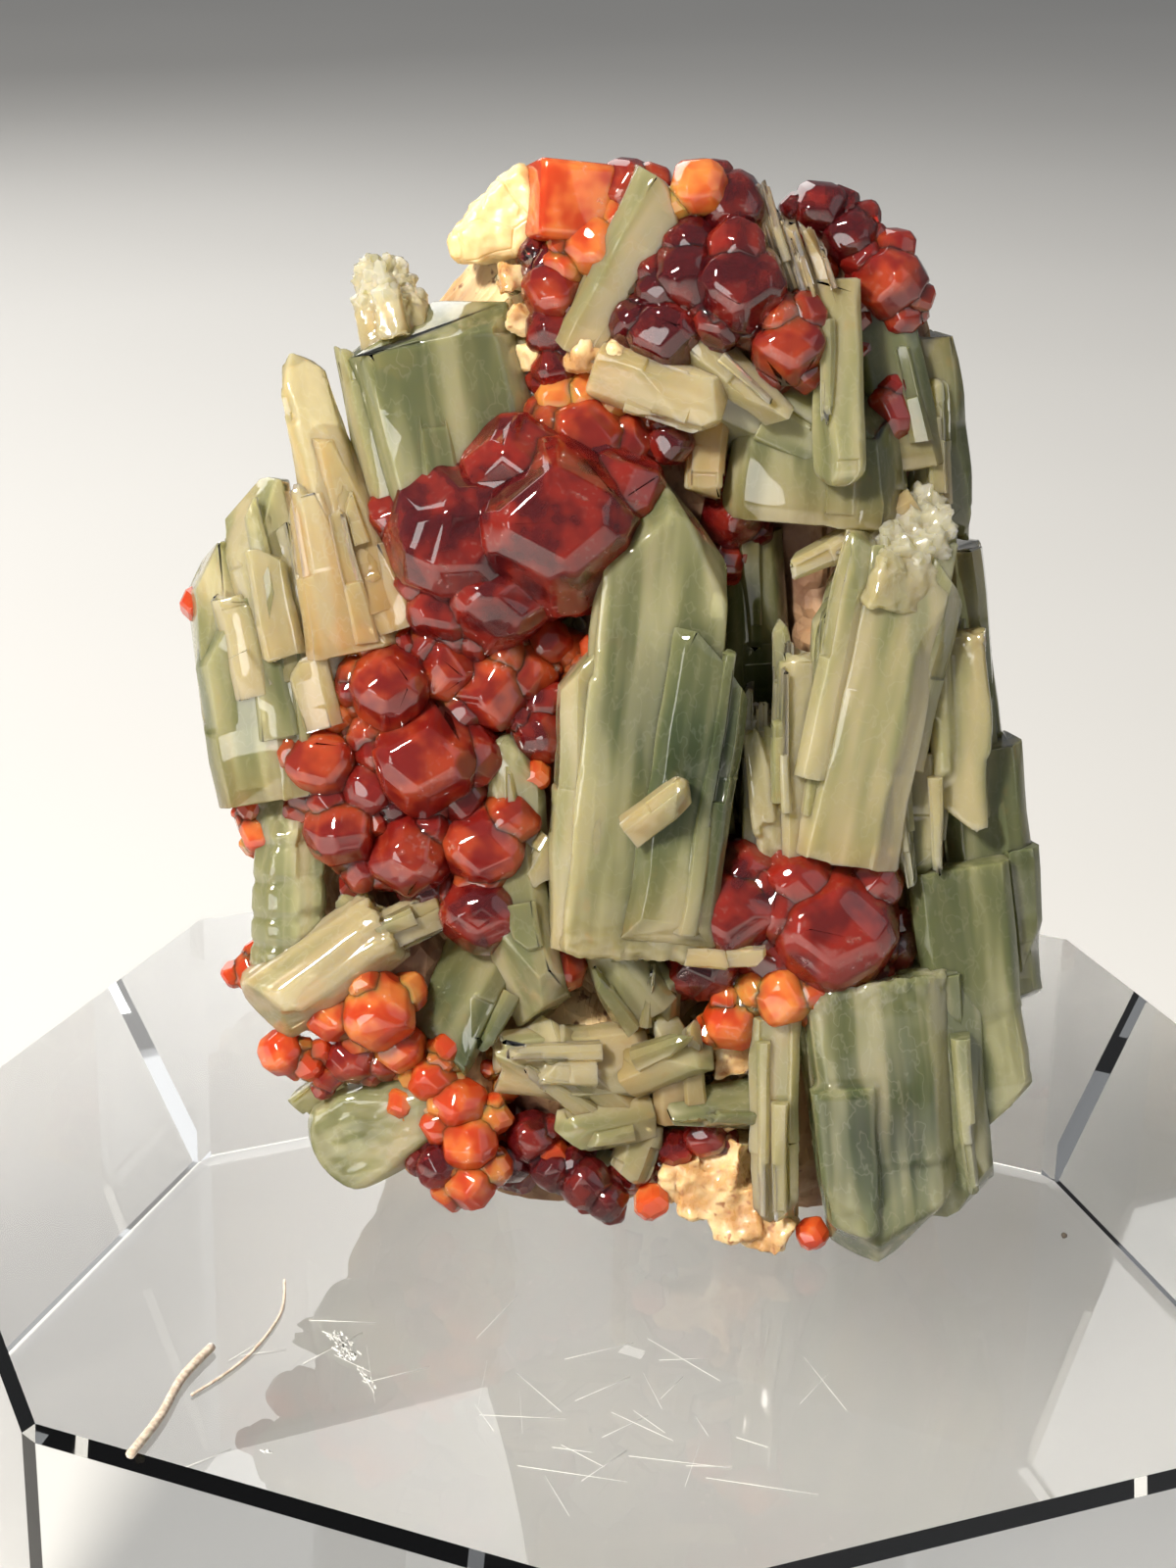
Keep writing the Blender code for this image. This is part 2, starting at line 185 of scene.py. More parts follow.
ROCK_MOUNDS = (
    (-0.8, 13.0, -0.4, 2.4),
    (-0.8, 19.5, -0.8, 2.2),
    (-5.0, 23.5, -1.2, 2.0),
    (-11.0, 20.0, -2.4, 2.6),
    (-8.5, 16.5, -1.4, 2.2),
    (-8.5, 9.0, -1.2, 2.3),
    (-2.5, 6.0, -1.2, 2.4),
    (-7.0, 4.5, -1.6, 2.8),
    (6.5, 12.0, -1.0, 2.2),
    (7.0, 20.0, -1.6, 2.4),
    (8.6, 5.5, -0.8, 1.8),
    (3.4, 31.5, -1.0, 1.8),
    (4.6, 27.5, -1.6, 1.6),
    (-2.6, 32.5, -1.8, 2.0),
)
CREAM_PATCHES = (
    (2.6, 3.0, 3.4),
    (3.0, 7.4, 1.8),
    (-3.4, 30.0, 2.0),
    (-4.6, 31.6, 1.6),
    (-1.0, 7.0, 2.4),
    (6.0, 14.4, 2.4),
    (-9.6, 21.0, 2.2),
)
BACK_CREAM = 0.7
BACK_BLEND = 4.0
RECESS_ACROSS = 3.2
RECESS_HEIGHT = 18.0
RECESS_WIDTH = 1.7
RECESS_REACH = 6.0
RECESS_DEPTH = 3.4


def on_front(across, height, proud):
    """A point on the specimen's leaning front, in metres, standing proud by so much."""
    depth = FRONT_AT_FOOT + FRONT_LEAN * height - proud
    return Vector((across * MM, depth * MM, height * MM + BLOCK_TOP))


def between(levels, height):
    """The rock's edges at a height, blended between the levels above and below."""
    low = levels[0]
    for high in levels[1:]:
        if height <= high[0]:
            share = max(0.0, (height - low[0]) / (high[0] - low[0]))
            return [a + (b - a) * share for a, b in zip(low[1:], high[1:])]
        low = high
    return list(levels[-1][1:])


def in_recess(across, height):
    """How far into the dark recess beside the centre blade a place is, from 0 to 1."""
    side = (across - RECESS_ACROSS) / RECESS_WIDTH
    rise = (height - RECESS_HEIGHT) / RECESS_REACH
    return exp(-side * side - rise * rise)


def rock_surface(unit):
    """Where a point of a round ball ends up on the rock, in millimetres."""
    unit = unit.normalized()
    unit /= sum(abs(side) ** ROCK_SQUARENESS for side in unit) ** (1 / ROCK_SQUARENESS)
    top = ROCK_LEVELS[-1][0]
    height = top * (unit.z + 1) / 2
    left, right, front, back = between(ROCK_LEVELS, height)
    place = Vector(
        (
            (left + right) / 2 + unit.x * (right - left) / 2,
            (front + back) / 2 + unit.y * (back - front) / 2,
            height,
        )
    )
    if unit.y < 0:
        for across, rise, proud, radius in ROCK_MOUNDS:
            aside = (place.x - across) ** 2 + (place.z - rise) ** 2
            if aside < radius * radius:
                middle = FRONT_AT_FOOT + FRONT_LEAN * rise - proud
                place.y = min(place.y, middle - sqrt(radius * radius - aside))
        place.y += RECESS_DEPTH * in_recess(place.x, place.z)
    place.z = min(place.z, ROCK_TOP - ROCK_TOP_FALL * (place.y - ROCK_LEVELS[-1][3]))
    return place


def in_patch(across, height):
    """How cream the rock is at a place in front, from 0 where it is brown to 1."""
    share = 0.0
    for middle, rise, reach in CREAM_PATCHES:
        away = ((across - middle) ** 2 + (height - rise) ** 2) / reach**2
        share = max(share, exp(-away * away))
    return share


def finish_piece(growth, name, material, smooth_below=None):
    """Turn grown shapes into a piece of the specimen, fixed in its place."""
    mesh = bpy.data.meshes.new(name)
    growth.to_mesh(mesh)
    growth.free()
    mesh.materials.append(material)
    if smooth_below:
        mesh.shade_smooth()
        mesh.set_sharp_from_angle(angle=radians(smooth_below))
    piece = bpy.data.objects.new(name, mesh)
    bpy.context.scene.collection.objects.link(piece)
    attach(piece, "root")
    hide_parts("specimen")
    return piece


def rock_finish():
    """Crumbly cream rock with brown iron stain, darkened nearly to black by painted shade in the recess
    beside the centre blade.
    """
    material, tree, shader = new_material(
        "cream_rock",
        {
            "Roughness": 0.7,
            "Subsurface Weight": 0.4,
            "Subsurface Radius": (1.0, 0.6, 0.35),
            "Subsurface Scale": 0.7 * MM,
        },
    )
    place = add_node(tree, "ShaderNodeTexCoord").outputs["Object"]
    cloud = noise_of(tree, place, 380.0, 4.0)
    speck = noise_of(tree, place, 2400.0, 2.0)
    shading = add_node(tree, "ShaderNodeAttribute", attribute_name="growth")
    deep = add_node(tree, "ShaderNodeSeparateXYZ", {"Vector": shading.outputs["Vector"]})
    cream = mix_colour(
        tree, ramp(tree, cloud, 0.38, 0.66), (0.72, 0.55, 0.30), (0.52, 0.30, 0.12)
    )
    brown = mix_colour(
        tree, ramp(tree, cloud, 0.35, 0.62), (0.34, 0.20, 0.10), (0.14, 0.065, 0.035)
    )
    colour = mix_colour(tree, deep.outputs["Y"], brown, cream)
    colour = mix_colour(tree, ramp(tree, speck, 0.58, 0.72), colour, (0.16, 0.075, 0.035))
    # Painted shade: the rock turns nearly black where it lies deep in the recess.
    colour = mix_colour(tree, deep.outputs["X"], colour, (0.03, 0.016, 0.009))
    tree.links.new(colour, shader.inputs["Base Color"])
    raise_surface(tree, shader, speck, 0.7, 0.08 * MM)
    return material


def make_rock():
    """The crust behind all the crystals, lumpy at every size from knobs down to grains."""
    growth = bmesh.new()
    shading = growth.verts.layers.float_vector.new("growth")
    bmesh.ops.create_icosphere(growth, subdivisions=ROCK_FINENESS, radius=1.0)
    for vert in growth.verts:
        place = rock_surface(vert.co)
        start = place.copy()
        for size, amount in ROCK_LUMPS:
            place += noise.noise_vector(start / size) * amount
        place.z = max(place.z, REST_GAP)
        behind = (place.y + 2.0 * noise.noise(start * 0.4)) / BACK_BLEND
        behind = min(1.0, max(0.0, behind))
        # Painted shade: how far a point lies into the recess, used to darken the rock there.
        deep = in_recess(place.x, place.z) * (1 - behind)
        cream = in_patch(place.x, place.z) * (1 - behind) + BACK_CREAM * behind
        vert[shading] = (deep, cream, 0.0)
        vert.co = place * MM + Vector((0, 0, BLOCK_TOP))
    return finish_piece(growth, "rock", rock_finish())


rock = make_rock()

# Diopside, the fan at the upper left. Each crystal is a pale green glassy prism with silky
# growth strips along it. They grew side by side out of the rock, so they are rooted in it,
# brown with iron at the foot and chipped or stepped at the head.
RING = 0.8
SLAT_PROUD = (0.10, 0.32)
THINNEST_STRIP = 0.07
LEDGE_EDGE = 0.06
LEDGES = 3
BLUNT_SHARES = (0.3, 0.55, 0.75, 0.9, 0.98)
BAND_EDGE = 0.22
BAND_SINK = 0.10
CHIP_DEPTH = (0.05, 0.32)
SUGAR_FINENESS = 0.12
THIN_PRISM = 0.9
EDGE_WEAR = 0.07
WORN_ABOVE = 38
WORN_FACE = 0.06
GROWTH_LINES = 0.018
WANDER = 0.10
CRUMBS = 0.13
FOOT_CRUMBS = 1.2
STAIN_REACH = 3.4
PALEST = -0.6
GREENEST = 2.2
UPPER_LEFT_FAN = {
    "tabular_block": dict(
        foot=(-6.6, 25.1, -0.2), head=(-8.0, 32.2, -1.2), width=6.2, thickness=3.5,
        slats=1, green=0.72, cloud=0.35, stain=0.1, tips=((0.9, -24, 8), (0.5, 12, 0)),
    ),
    "block_knob": dict(
        foot=(-8.6, 30.0, -0.8), head=(-9.3, 33.0, -1.5), width=2.3, thickness=2.4,
        slats=1, green=0.1, cloud=0.6, sugar=2.2, chips=6,
    ),
    "left_slat": dict(
        foot=(-8.3, 24.7, 0.1), head=(-9.9, 30.7, -1.0), width=2.0, thickness=1.8,
        green=0.3, cloud=0.5, tips=((1.2, 50, 0),),
    ),
    "thin_blade": dict(
        foot=(-9.0, 24.9, -0.5), head=(-10.2, 30.4, -1.5), width=1.5, thickness=1.5,
        green=0.4, cloud=0.4, tips=((0.6, 40, 0),),
    ),
    "spike": dict(
        foot=(-9.8, 22.6, 0.3), head=(-12.2, 30.1, -0.9), width=2.5, thickness=2.0,
        green=0.1, cloud=0.6, stain=0.8, taper=0.42, blunt=0.7, fineness=0.13,
    ),
    "short_spike": dict(
        foot=(-9.1, 21.9, 0.6), head=(-11.0, 27.9, -0.2), width=2.4, thickness=1.9,
        slats=1, green=-0.35, cloud=0.9, stain=0.7, taper=0.45, blunt=0.5, ridge=0.10,
    ),
    "stained_foot": dict(
        foot=(-9.9, 20.6, 0.6), head=(-11.4, 26.3, 0.2), width=3.2, thickness=2.0,
        slats=1, green=-0.45, cloud=0.9, stain=0.6, taper=0.35, ragged=0.8, ridge=0.10,
    ),
    "stained_wedge": dict(
        foot=(-8.4, 21.4, 0.9), head=(-10.1, 25.4, 0.5), width=2.2, thickness=1.6,
        green=-0.55, cloud=0.9, stain=0.6, taper=0.5, ragged=0.7, ridge=0.10,
    ),
}


def cut_off(shape, place, facing):
    """Break a shape off flat: what lies past the plane goes, and the break is closed."""
    everything = shape.verts[:] + shape.edges[:] + shape.faces[:]
    bmesh.ops.bisect_plane(
        shape, geom=everything, plane_co=place, plane_no=facing, clear_outer=True, dist=1e-5
    )
    bmesh.ops.holes_fill(shape, edges=[edge for edge in shape.edges if edge.is_boundary])


def ridged_outline(rng, width, thickness, corner, ridge, strip_width):
    """Round a prism's eight sides, each broken into strips sunk by their own small bit.

    Each point comes with the way out of its side and its strip's number.
    """
    a, b, c = width / 2, thickness / 2, corner
    right = [(a, c - b), (a, b - c), (a - c, b)]
    left = [(c - a, b), (-a, b - c), (-a, c - b)]
    corners = [Vector(point) for point in right + left + [(c - a, -b), (a - c, -b)]]
    outline = []
    strip = 0
    for start, end in zip(corners, corners[1:] + corners[:1]):
        side = end - start
        outward = Vector((side.y, -side.x)).normalized()
        count = max(1, round(side.length / strip_width))
        cuts = [0.0] + sorted(rng.random() for _ in range(count - 1)) + [1.0]
        for low, high in zip(cuts, cuts[1:]):
            if (high - low) * side.length < THINNEST_STRIP:
                continue
            sunk = outward * rng.uniform(0.0, ridge)
            edge = (high - low) * 0.06
            for share in (low + edge, high - edge):
                outline.append((start + side * share - sunk, outward, strip))
            strip += 1
    return outline


def ring_heights(rng, length, blunt, bands):
    """How far up a prism its rings of points lie, and where its ledges and bands are."""
    count = max(2, round(length / RING))
    heights = {length * ring / count for ring in range(1, count + 1)}
    ledges = [length * rng.uniform(0.3, 0.95) for _ in range(LEDGES)]
    for ledge in ledges:
        heights |= {ledge, min(length, ledge + LEDGE_EDGE)}
    grooves = [length * (band + rng.uniform(0.3, 0.7)) / bands for band in range(bands)]
    for groove in grooves:
        heights |= {groove - BAND_EDGE, groove, groove + BAND_EDGE}
    if blunt:
        heights |= {length - blunt * (1 - share) for share in BLUNT_SHARES}
    return sorted(height for height in heights if 0 < height <= length), ledges, grooves


def grow_prism(
    rng, length, width, thickness, tips=(), taper=0.06,
    ridge=0.05, strip=1.1, blunt=0.0, bands=0, ragged=0.0, corner=None, chips=0,
):
    """One prism in millimetres, standing on its foot: ring by ring up to its cut head."""
    corner = min(width, thickness) * (corner or rng.uniform(0.14, 0.28))
    outline = ridged_outline(rng, width, thickness, corner, ridge, strip)
    strips = outline[-1][2] + 1
    heights, ledges, grooves = ring_heights(rng, length, blunt, bands)
    ledge_of = [rng.choice(ledges + [length * 2] * 2) for _ in range(strips)]
    drop_of = [rng.uniform(0.04, 0.18) for _ in range(strips)]
    head_of = [rng.uniform(0.0, ragged) for _ in range(strips)]
    chance = rng.uniform(0, 100)
    prism = bmesh.new()
    number = prism.verts.layers.int.new("place")
    bmesh.ops.create_circle(prism, cap_ends=True, segments=len(outline), radius=1.0)
    for place, vert in enumerate(prism.verts):
        vert[number] = place
    prism.faces.ensure_lookup_table()
    cap = prism.faces[0]

    def shape_ring(verts, height):
        """Set one ring of points to the outline at a height."""
        size = 1 - taper * height / length + 0.05 * noise.noise((chance, height * 0.5, 0))
        if blunt and height > length - blunt:
            size *= sqrt(max(0.05, 1 - ((height - length + blunt) / blunt) ** 2))
        for groove in grooves:
            if abs(height - groove) < BAND_EDGE / 2:
                size *= 1 - BAND_SINK
        for vert in verts:
            flat, outward, strip = outline[vert[number]]
            sink = 0.0
            if height > ledge_of[strip] + LEDGE_EDGE / 2:
                sink = drop_of[strip]
            flat = flat * size - outward * sink
            vert.co = (flat.x, flat.y, height)
            if height > length - 1e-6:
                vert.co.z -= head_of[strip]

    shape_ring(cap.verts, 0.0)
    for height in heights:
        grown = bmesh.ops.extrude_face_region(prism, geom=[cap])["geom"]
        new_cap = [part for part in grown if isinstance(part, bmesh.types.BMFace)][0]
        if height != heights[0]:
            bmesh.ops.delete(prism, geom=[cap], context="FACES_ONLY")
        cap = new_cap
        shape_ring(cap.verts, height)
    if ragged:
        bmesh.ops.poke(prism, faces=[cap], offset=-ragged * 0.3)
    for drop, lean, tilt in tips:
        lean, tilt = radians(lean), radians(tilt)
        facing = Vector((sin(lean) * cos(tilt), -sin(tilt), cos(lean) * cos(tilt)))
        cut_off(prism, (0, 0, length - drop), facing)
    for _ in range(chips):
        facing = Vector((rng.uniform(-1, 1), rng.uniform(-1, 0.6), rng.uniform(-0.1, 1.0)))
        facing.normalize()
        reach = max(vert.co.dot(facing) for vert in prism.verts)
        depth = rng.uniform(*CHIP_DEPTH) * min(width, thickness)
        cut_off(prism, facing * (reach - depth), facing)
    bmesh.ops.recalc_face_normals(prism, faces=prism.faces)
    if width > THIN_PRISM:
        wear_edges(prism)
    return prism


def wear_edges(shape):
    """Blunt the long sharp edges of a shape a little, so that they catch the light."""
    worn = [
        edge for edge in shape.edges
        if edge.is_manifold
        and edge.calc_face_angle() > radians(WORN_ABOVE)
        and min(face.calc_area() for face in edge.link_faces) > WORN_FACE
    ]
    bmesh.ops.bevel(
        shape, geom=worn, offset=EDGE_WEAR, affect="EDGES",
        segments=2, profile=0.5, material=-1,
    )


def put_in(growth, part, place):
    """Put one shape in its place among others."""
    bmesh.ops.transform(part, matrix=place, verts=part.verts)
    mesh = bpy.data.meshes.new("part")
    part.to_mesh(mesh)
    part.free()
    growth.from_mesh(mesh)
    bpy.data.meshes.remove(mesh)


def grown_together(parts, fineness=None):
    """The one outer skin of shapes that were grown into each other: flat faces and straight
    edges, or small even faces where the crystal is to be rough.
    """
    holders = []
    for part in parts:
        mesh = bpy.data.meshes.new("part")
        part.to_mesh(mesh)
        part.free()
        holders.append(bpy.data.objects.new("part", mesh))
        bpy.context.scene.collection.objects.link(holders[-1])
    for holder in holders[1:]:
        joint = holders[0].modifiers.new("joint", "BOOLEAN")
        joint.operation = "UNION"
        joint.solver = "MANIFOLD"
        joint.object = holder
    if fineness:
        remesh = holders[0].modifiers.new("skin", "REMESH")
        remesh.mode = "VOXEL"
        remesh.voxel_size = fineness
    skin = bmesh.new()
    skin.verts.layers.float_vector.new("grain")
    skin.verts.layers.float_vector.new("growth")
    skin.from_object(holders[0], bpy.context.evaluated_depsgraph_get())
    for holder in holders:
        mesh = holder.data
        bpy.data.objects.remove(holder)
        bpy.data.meshes.remove(mesh)
    return skin


def share_between(value, low, high):
    """How far a value is on its way from low to high, from 0 to 1."""
    return min(1.0, max(0.0, (value - low) / (high - low)))


def finish_skin(rng, skin, length, ridge, sugar, looks):
    """Draw growth lines along a crystal, crumble its broken ends and colour it along its length."""
    green, cloud, stain, zone = looks
    grain = skin.verts.layers.float_vector["grain"]
    shading = skin.verts.layers.float_vector["growth"]
    start = Vector((rng.uniform(0, 50), rng.uniform(0, 50), rng.uniform(0, 50)))
    skin.normal_update()
    for vert in skin.verts:
        flat = vert.co.copy()
        out, place = vert.normal.copy(), flat + start
        lines = noise.noise((place.x * 2.2, place.y * 2.2, place.z * 0.07))
        lines += 0.4 * noise.noise((place.x * 6.0, place.y * 6.0, place.z * 0.25))
        sugary = share_between(flat.z, length - sugar, length - sugar * 0.6) if sugar else 0.0
        broken = max(sugary, 1 - share_between(flat.z, 0, FOOT_CRUMBS))
        move = (1 - abs(out.z)) * lines * (GROWTH_LINES + ridge * 0.4)
        if broken > 0:
            move += (broken + sugary) * CRUMBS * (noise.noise(place * 2.6) + 0.6 * noise.noise(place * 6.0))
        vert.co += out * move + noise.noise_vector(place * 0.4) * WANDER
        deep = green
        if zone:
            away = (flat - Vector(zone[:3])).length / zone[3]
            deep += (zone[4] - green) * exp(-away * away)
        deep = (deep - PALEST) / (GREENEST - PALEST)
        vert[grain] = place
        vert[shading] = (deep, cloud + sugary, stain * exp(-max(0.0, flat.z) / STAIN_REACH))


def stand_between(foot, head, turn):
    """The place of a crystal in millimetres that runs from foot to head, facing forward."""
    along = (head - foot).normalized()
    across = Vector((0, 1, 0)).cross(along).normalized()
    out = along.cross(across)
    place = Matrix((across, out, along)).transposed().to_4x4()
    place.translation = foot
    return place @ Matrix.Rotation(turn, 4, "Z") @ Matrix.Scale(MM, 4)


def grow_diopside(
    growth, rng, foot, head, width, thickness, slats=0, turn=None, green=0.4, cloud=0.4,
    stain=0.45, zone=None, tips=(), chips=5, sugar=0.0, ridge=0.04, fineness=None, **shape
):
    """A diopside crystal: a main prism with thinner slats grown along its faces."""
    length = (head - foot).length / MM
    turn = radians(rng.uniform(-10, 10) if turn is None else turn)
    parts = [grow_prism(
        rng, length, width, thickness, tips, ridge=ridge, chips=chips, **shape
    )]
    for _ in range(slats):
        low, high = rng.uniform(0, 0.35), rng.uniform(0.6, 0.97)
        deep = thickness * rng.uniform(0.3, 0.5)
        slat = grow_prism(
            rng,
            length * (high - low),
            width * rng.uniform(0.2, 0.5),
            deep,
            tips=((0.1, rng.choice((-1, 1)) * rng.uniform(25, 60), rng.uniform(10, 45)),),
            taper=rng.uniform(0.1, 0.4),
            chips=2,
        )
        aside = rng.uniform(-0.42, 0.42) * width
        forward = deep / 2 - thickness / 2 - rng.uniform(*SLAT_PROUD)
        bmesh.ops.translate(slat, vec=(aside, forward, low * length), verts=slat.verts)
        parts.append(slat)
    skin = grown_together(parts, fineness or (sugar and SUGAR_FINENESS))
    finish_skin(rng, skin, length, ridge, sugar, (green, cloud, stain, zone))
    put_in(growth, skin, stand_between(foot, head, turn))


def diopside_finish():
    """Glassy pale green with milky veils, silky fibres, sugary breaks and a rusty foot."""
    material, tree, shader = new_material(
        "pale_green_diopside",
        {
            "IOR": 1.67,
            "Transmission Weight": 0.6,
            "Subsurface Weight": 1.0,
            "Subsurface Radius": (1.0, 0.95, 0.6),
            "Subsurface Scale": 0.9 * MM,
        },
    )
    grain = add_node(tree, "ShaderNodeAttribute", attribute_name="grain").outputs["Vector"]
    shading = add_node(tree, "ShaderNodeAttribute", attribute_name="growth").outputs["Vector"]
    look = add_node(tree, "ShaderNodeSeparateXYZ", {"Vector": shading}).outputs
    fibre = noise_of(tree, grain, 1.0, 1.0, (2.8, 2.8, 0.10))
    veil = noise_of(tree, grain, 1.0, 2.0, (0.8, 0.8, 0.13))
    fleck = noise_of(tree, grain, 1.0, 2.0, (1.8, 1.8, 1.1))

    tint = combine(tree, "ADD", look["X"], ramp(tree, veil, 0.3, 0.7, 0.12, -0.12))
    colour = colour_steps(tree, tint, DIOPSIDE_COLOURS)
    milk = combine(tree, "MULTIPLY", ramp(tree, veil, 0.46, 0.68), look["Y"])
    colour = mix_colour(tree, combine(tree, "MULTIPLY", milk, 0.8), colour, (0.76, 0.72, 0.50))
    silk = combine(tree, "MULTIPLY", ramp(tree, fibre, 0.50, 0.74), look["Y"])
    colour = mix_colour(tree, combine(tree, "MULTIPLY", silk, 0.3), colour, (0.82, 0.74, 0.47))
    wisp = add_node(
        tree, "ShaderNodeMath", {0: combine(tree, "SUBTRACT", fleck, 0.5)}, operation="ABSOLUTE"
    ).outputs["Value"]
    wisp = combine(tree, "MULTIPLY", ramp(tree, wisp, 0.0, 0.03, 0.2, 0.0), look["Y"])
    colour = mix_colour(tree, wisp, colour, (0.92, 0.89, 0.74))
    rust = combine(tree, "ADD", look["Z"], ramp(tree, fleck, 0.62, 0.75, 0.0, 0.15))
    colour = mix_colour(tree, ramp(tree, rust, 0.12, 1.1), colour, (0.60, 0.33, 0.10))
    sugar = ramp(tree, look["Y"], 1.0, 1.5)
    colour = mix_colour(tree, combine(tree, "MULTIPLY", sugar, 0.6), colour, (0.80, 0.76, 0.58))
    tree.links.new(colour, shader.inputs["Base Color"])

    rough = combine(tree, "ADD", ramp(tree, fleck, 0.35, 0.7, 0.0, 0.25), silk)
    tree.links.new(ramp(tree, rough, 0.0, 1.0, 0.03, 0.26), shader.inputs["Roughness"])
    return material


def colour_steps(tree, value, steps):
    """A colour read off a scale of colours, each at its own place from 0 to 1."""
    node = add_node(tree, "ShaderNodeValToRGB", {"Fac": value})
    scale = node.color_ramp.elements
    while len(scale) < len(steps):
        scale.new(0.5)
    for step, (place, colour) in zip(scale, steps):
        step.position = place
        step.color = (*colour, 1.0)
    return node.outputs["Color"]


DIOPSIDE_COLOURS = (
    (0.0, (0.74, 0.50, 0.22)),
    (0.20, (0.66, 0.55, 0.30)),
    (0.36, (0.45, 0.44, 0.23)),
    (0.50, (0.26, 0.275, 0.13)),
    (0.70, (0.11, 0.145, 0.065)),
    (1.0, (0.03, 0.045, 0.015)),
)
DIOPSIDE = diopside_finish()
crystal_rng = random.Random(23)


def make_diopside(crystals):
    """Grow each crystal of a group as its own piece, fixed in the specimen."""
    for name, crystal in crystals.items():
        growth = bmesh.new()
        growth.verts.layers.float_vector.new("grain")
        growth.verts.layers.float_vector.new("growth")
        foot, head = on_front(*crystal["foot"]), on_front(*crystal["head"])
        grow_diopside(growth, crystal_rng, **{**crystal, "foot": foot, "head": head})
        finish_piece(growth, name, DIOPSIDE, DIOPSIDE_SMOOTHING)


DIOPSIDE_SMOOTHING = 40
make_diopside(UPPER_LEFT_FAN)

# Diopside, the steps at the far left. Stubby flat-faced crystals of pale sea green, each
# standing a little higher than the one outside it, so their heads make a stair.
make_diopside({
    "lower_step": dict(
        foot=(-12.5, 15.4, 0.0), head=(-13.9, 22.2, -0.6), width=3.9, thickness=3.0,
        slats=1, green=0.62, cloud=0.3, tips=((0.3, -16, 6),),
    ),
    "middle_step": dict(
        foot=(-13.9, 17.6, -0.5), head=(-15.4, 23.3, -1.2), width=2.2, thickness=2.6,
        slats=1, green=0.35, cloud=0.5, tips=((0.4, -30, 0),),
    ),
    "upper_step": dict(
        foot=(-12.0, 19.4, 0.1), head=(-13.7, 25.8, -0.9), width=2.6, thickness=2.6,
        slats=1, green=0.25, cloud=0.6, tips=((0.4, -34, 0),),
    ),
    "broad_step": dict(
        foot=(-10.9, 18.0, 0.1), head=(-12.4, 24.6, -0.7), width=3.0, thickness=2.4,
        slats=1, green=0.3, cloud=0.6, stain=0.5, tips=((0.5, 14, 0),),
    ),
    "low_stair_block": dict(
        foot=(-13.1, 19.0, 0.6), head=(-13.9, 22.2, 0.2), width=1.7, thickness=1.5,
        green=0.1, cloud=0.7, chips=2,
    ),
    "high_stair_block": dict(
        foot=(-12.2, 20.4, 0.8), head=(-12.9, 23.8, 0.4), width=1.5, thickness=1.4,
        green=0.05, cloud=0.7, chips=2,
    ),
    "inner_stair_block": dict(
        foot=(-10.9, 18.2, 1.0), head=(-11.5, 20.5, 0.8), width=1.7, thickness=1.4,
        green=-0.1, cloud=0.8, chips=3, stain=0.6,
    ),
    "inner_step": dict(
        foot=(-11.3, 16.6, 0.5), head=(-12.1, 21.2, 0.1), width=2.3, thickness=2.2,
        slats=1, green=0.45, cloud=0.4, tips=((0.2, -8, 10),),
    ),
})

# Diopside, the lower left. A round banded rod stands against a blunt crystal that reaches
# out to the left, with twigs beside it, and a fat stub lies at the foot.
make_diopside({
    "banded_rod": dict(
        foot=(-12.1, 9.8, 0.6), head=(-12.2, 15.8, -0.1), width=2.5, thickness=2.5,
        green=0.35, cloud=0.5, bands=5, taper=0.10, corner=0.29, chips=2, stain=0.1, fineness=0.13,
    ),
    "reaching_rod": dict(
        foot=(-8.8, 11.5, 0.9), head=(-13.3, 8.3, 1.6), width=2.6, thickness=2.4,
        green=0.0, cloud=0.7, taper=-0.15, blunt=0.9, slats=1, stain=0.3, corner=0.28, fineness=0.13,
    ),
    "ridged_arm": dict(
        foot=(-6.9, 12.1, 0.9), head=(-10.2, 10.7, 1.3), width=1.6, thickness=1.6,
        green=0.2, cloud=0.6, ridge=0.2, slats=1, stain=0.5, ragged=0.4,
    ),
    "twig": dict(
        foot=(-8.9, 11.6, 0.9), head=(-10.5, 12.2, 0.9), width=0.75, thickness=0.7,
        green=0.3, cloud=0.6, blunt=0.35, ridge=0.04,
    ),
    "fat_stub": dict(
        foot=(-6.4, 5.2, -0.4), head=(-11.2, 3.2, 0.9), width=3.3, thickness=3.2,
        green=0.45, cloud=0.5, blunt=1.0, taper=0.02, corner=0.28, chips=2, stain=0.1, fineness=0.13,
    ),
    "silvery_chip": dict(
        foot=(-10.5, 5.6, -0.3), head=(-12.0, 4.4, 0.0), width=1.3, thickness=1.0,
        green=0.2, cloud=0.2, ragged=0.4,
    ),
    "dark_block": dict(
        foot=(-5.2, 10.6, 0.0), head=(-7.3, 6.8, 0.9), width=2.7, thickness=2.6,
        green=1.0, cloud=0.2, slats=1, tips=((0.4, 22, 10),),
    ),
    "side_foot": dict(
        foot=(-4.9, 14.2, 0.4), head=(-3.6, 8.5, 1.8), width=2.3, thickness=2.2,
        green=0.4, cloud=0.35, slats=1, taper=-0.1, tips=((0.4, -20, 10),),
    ),
    "cream_piece": dict(
        foot=(-4.4, 13.8, 0.6), head=(-4.6, 18.1, 0.8), width=2.0, thickness=1.8,
        green=0.15, cloud=0.7, slats=1, blunt=0.6,
    ),
})

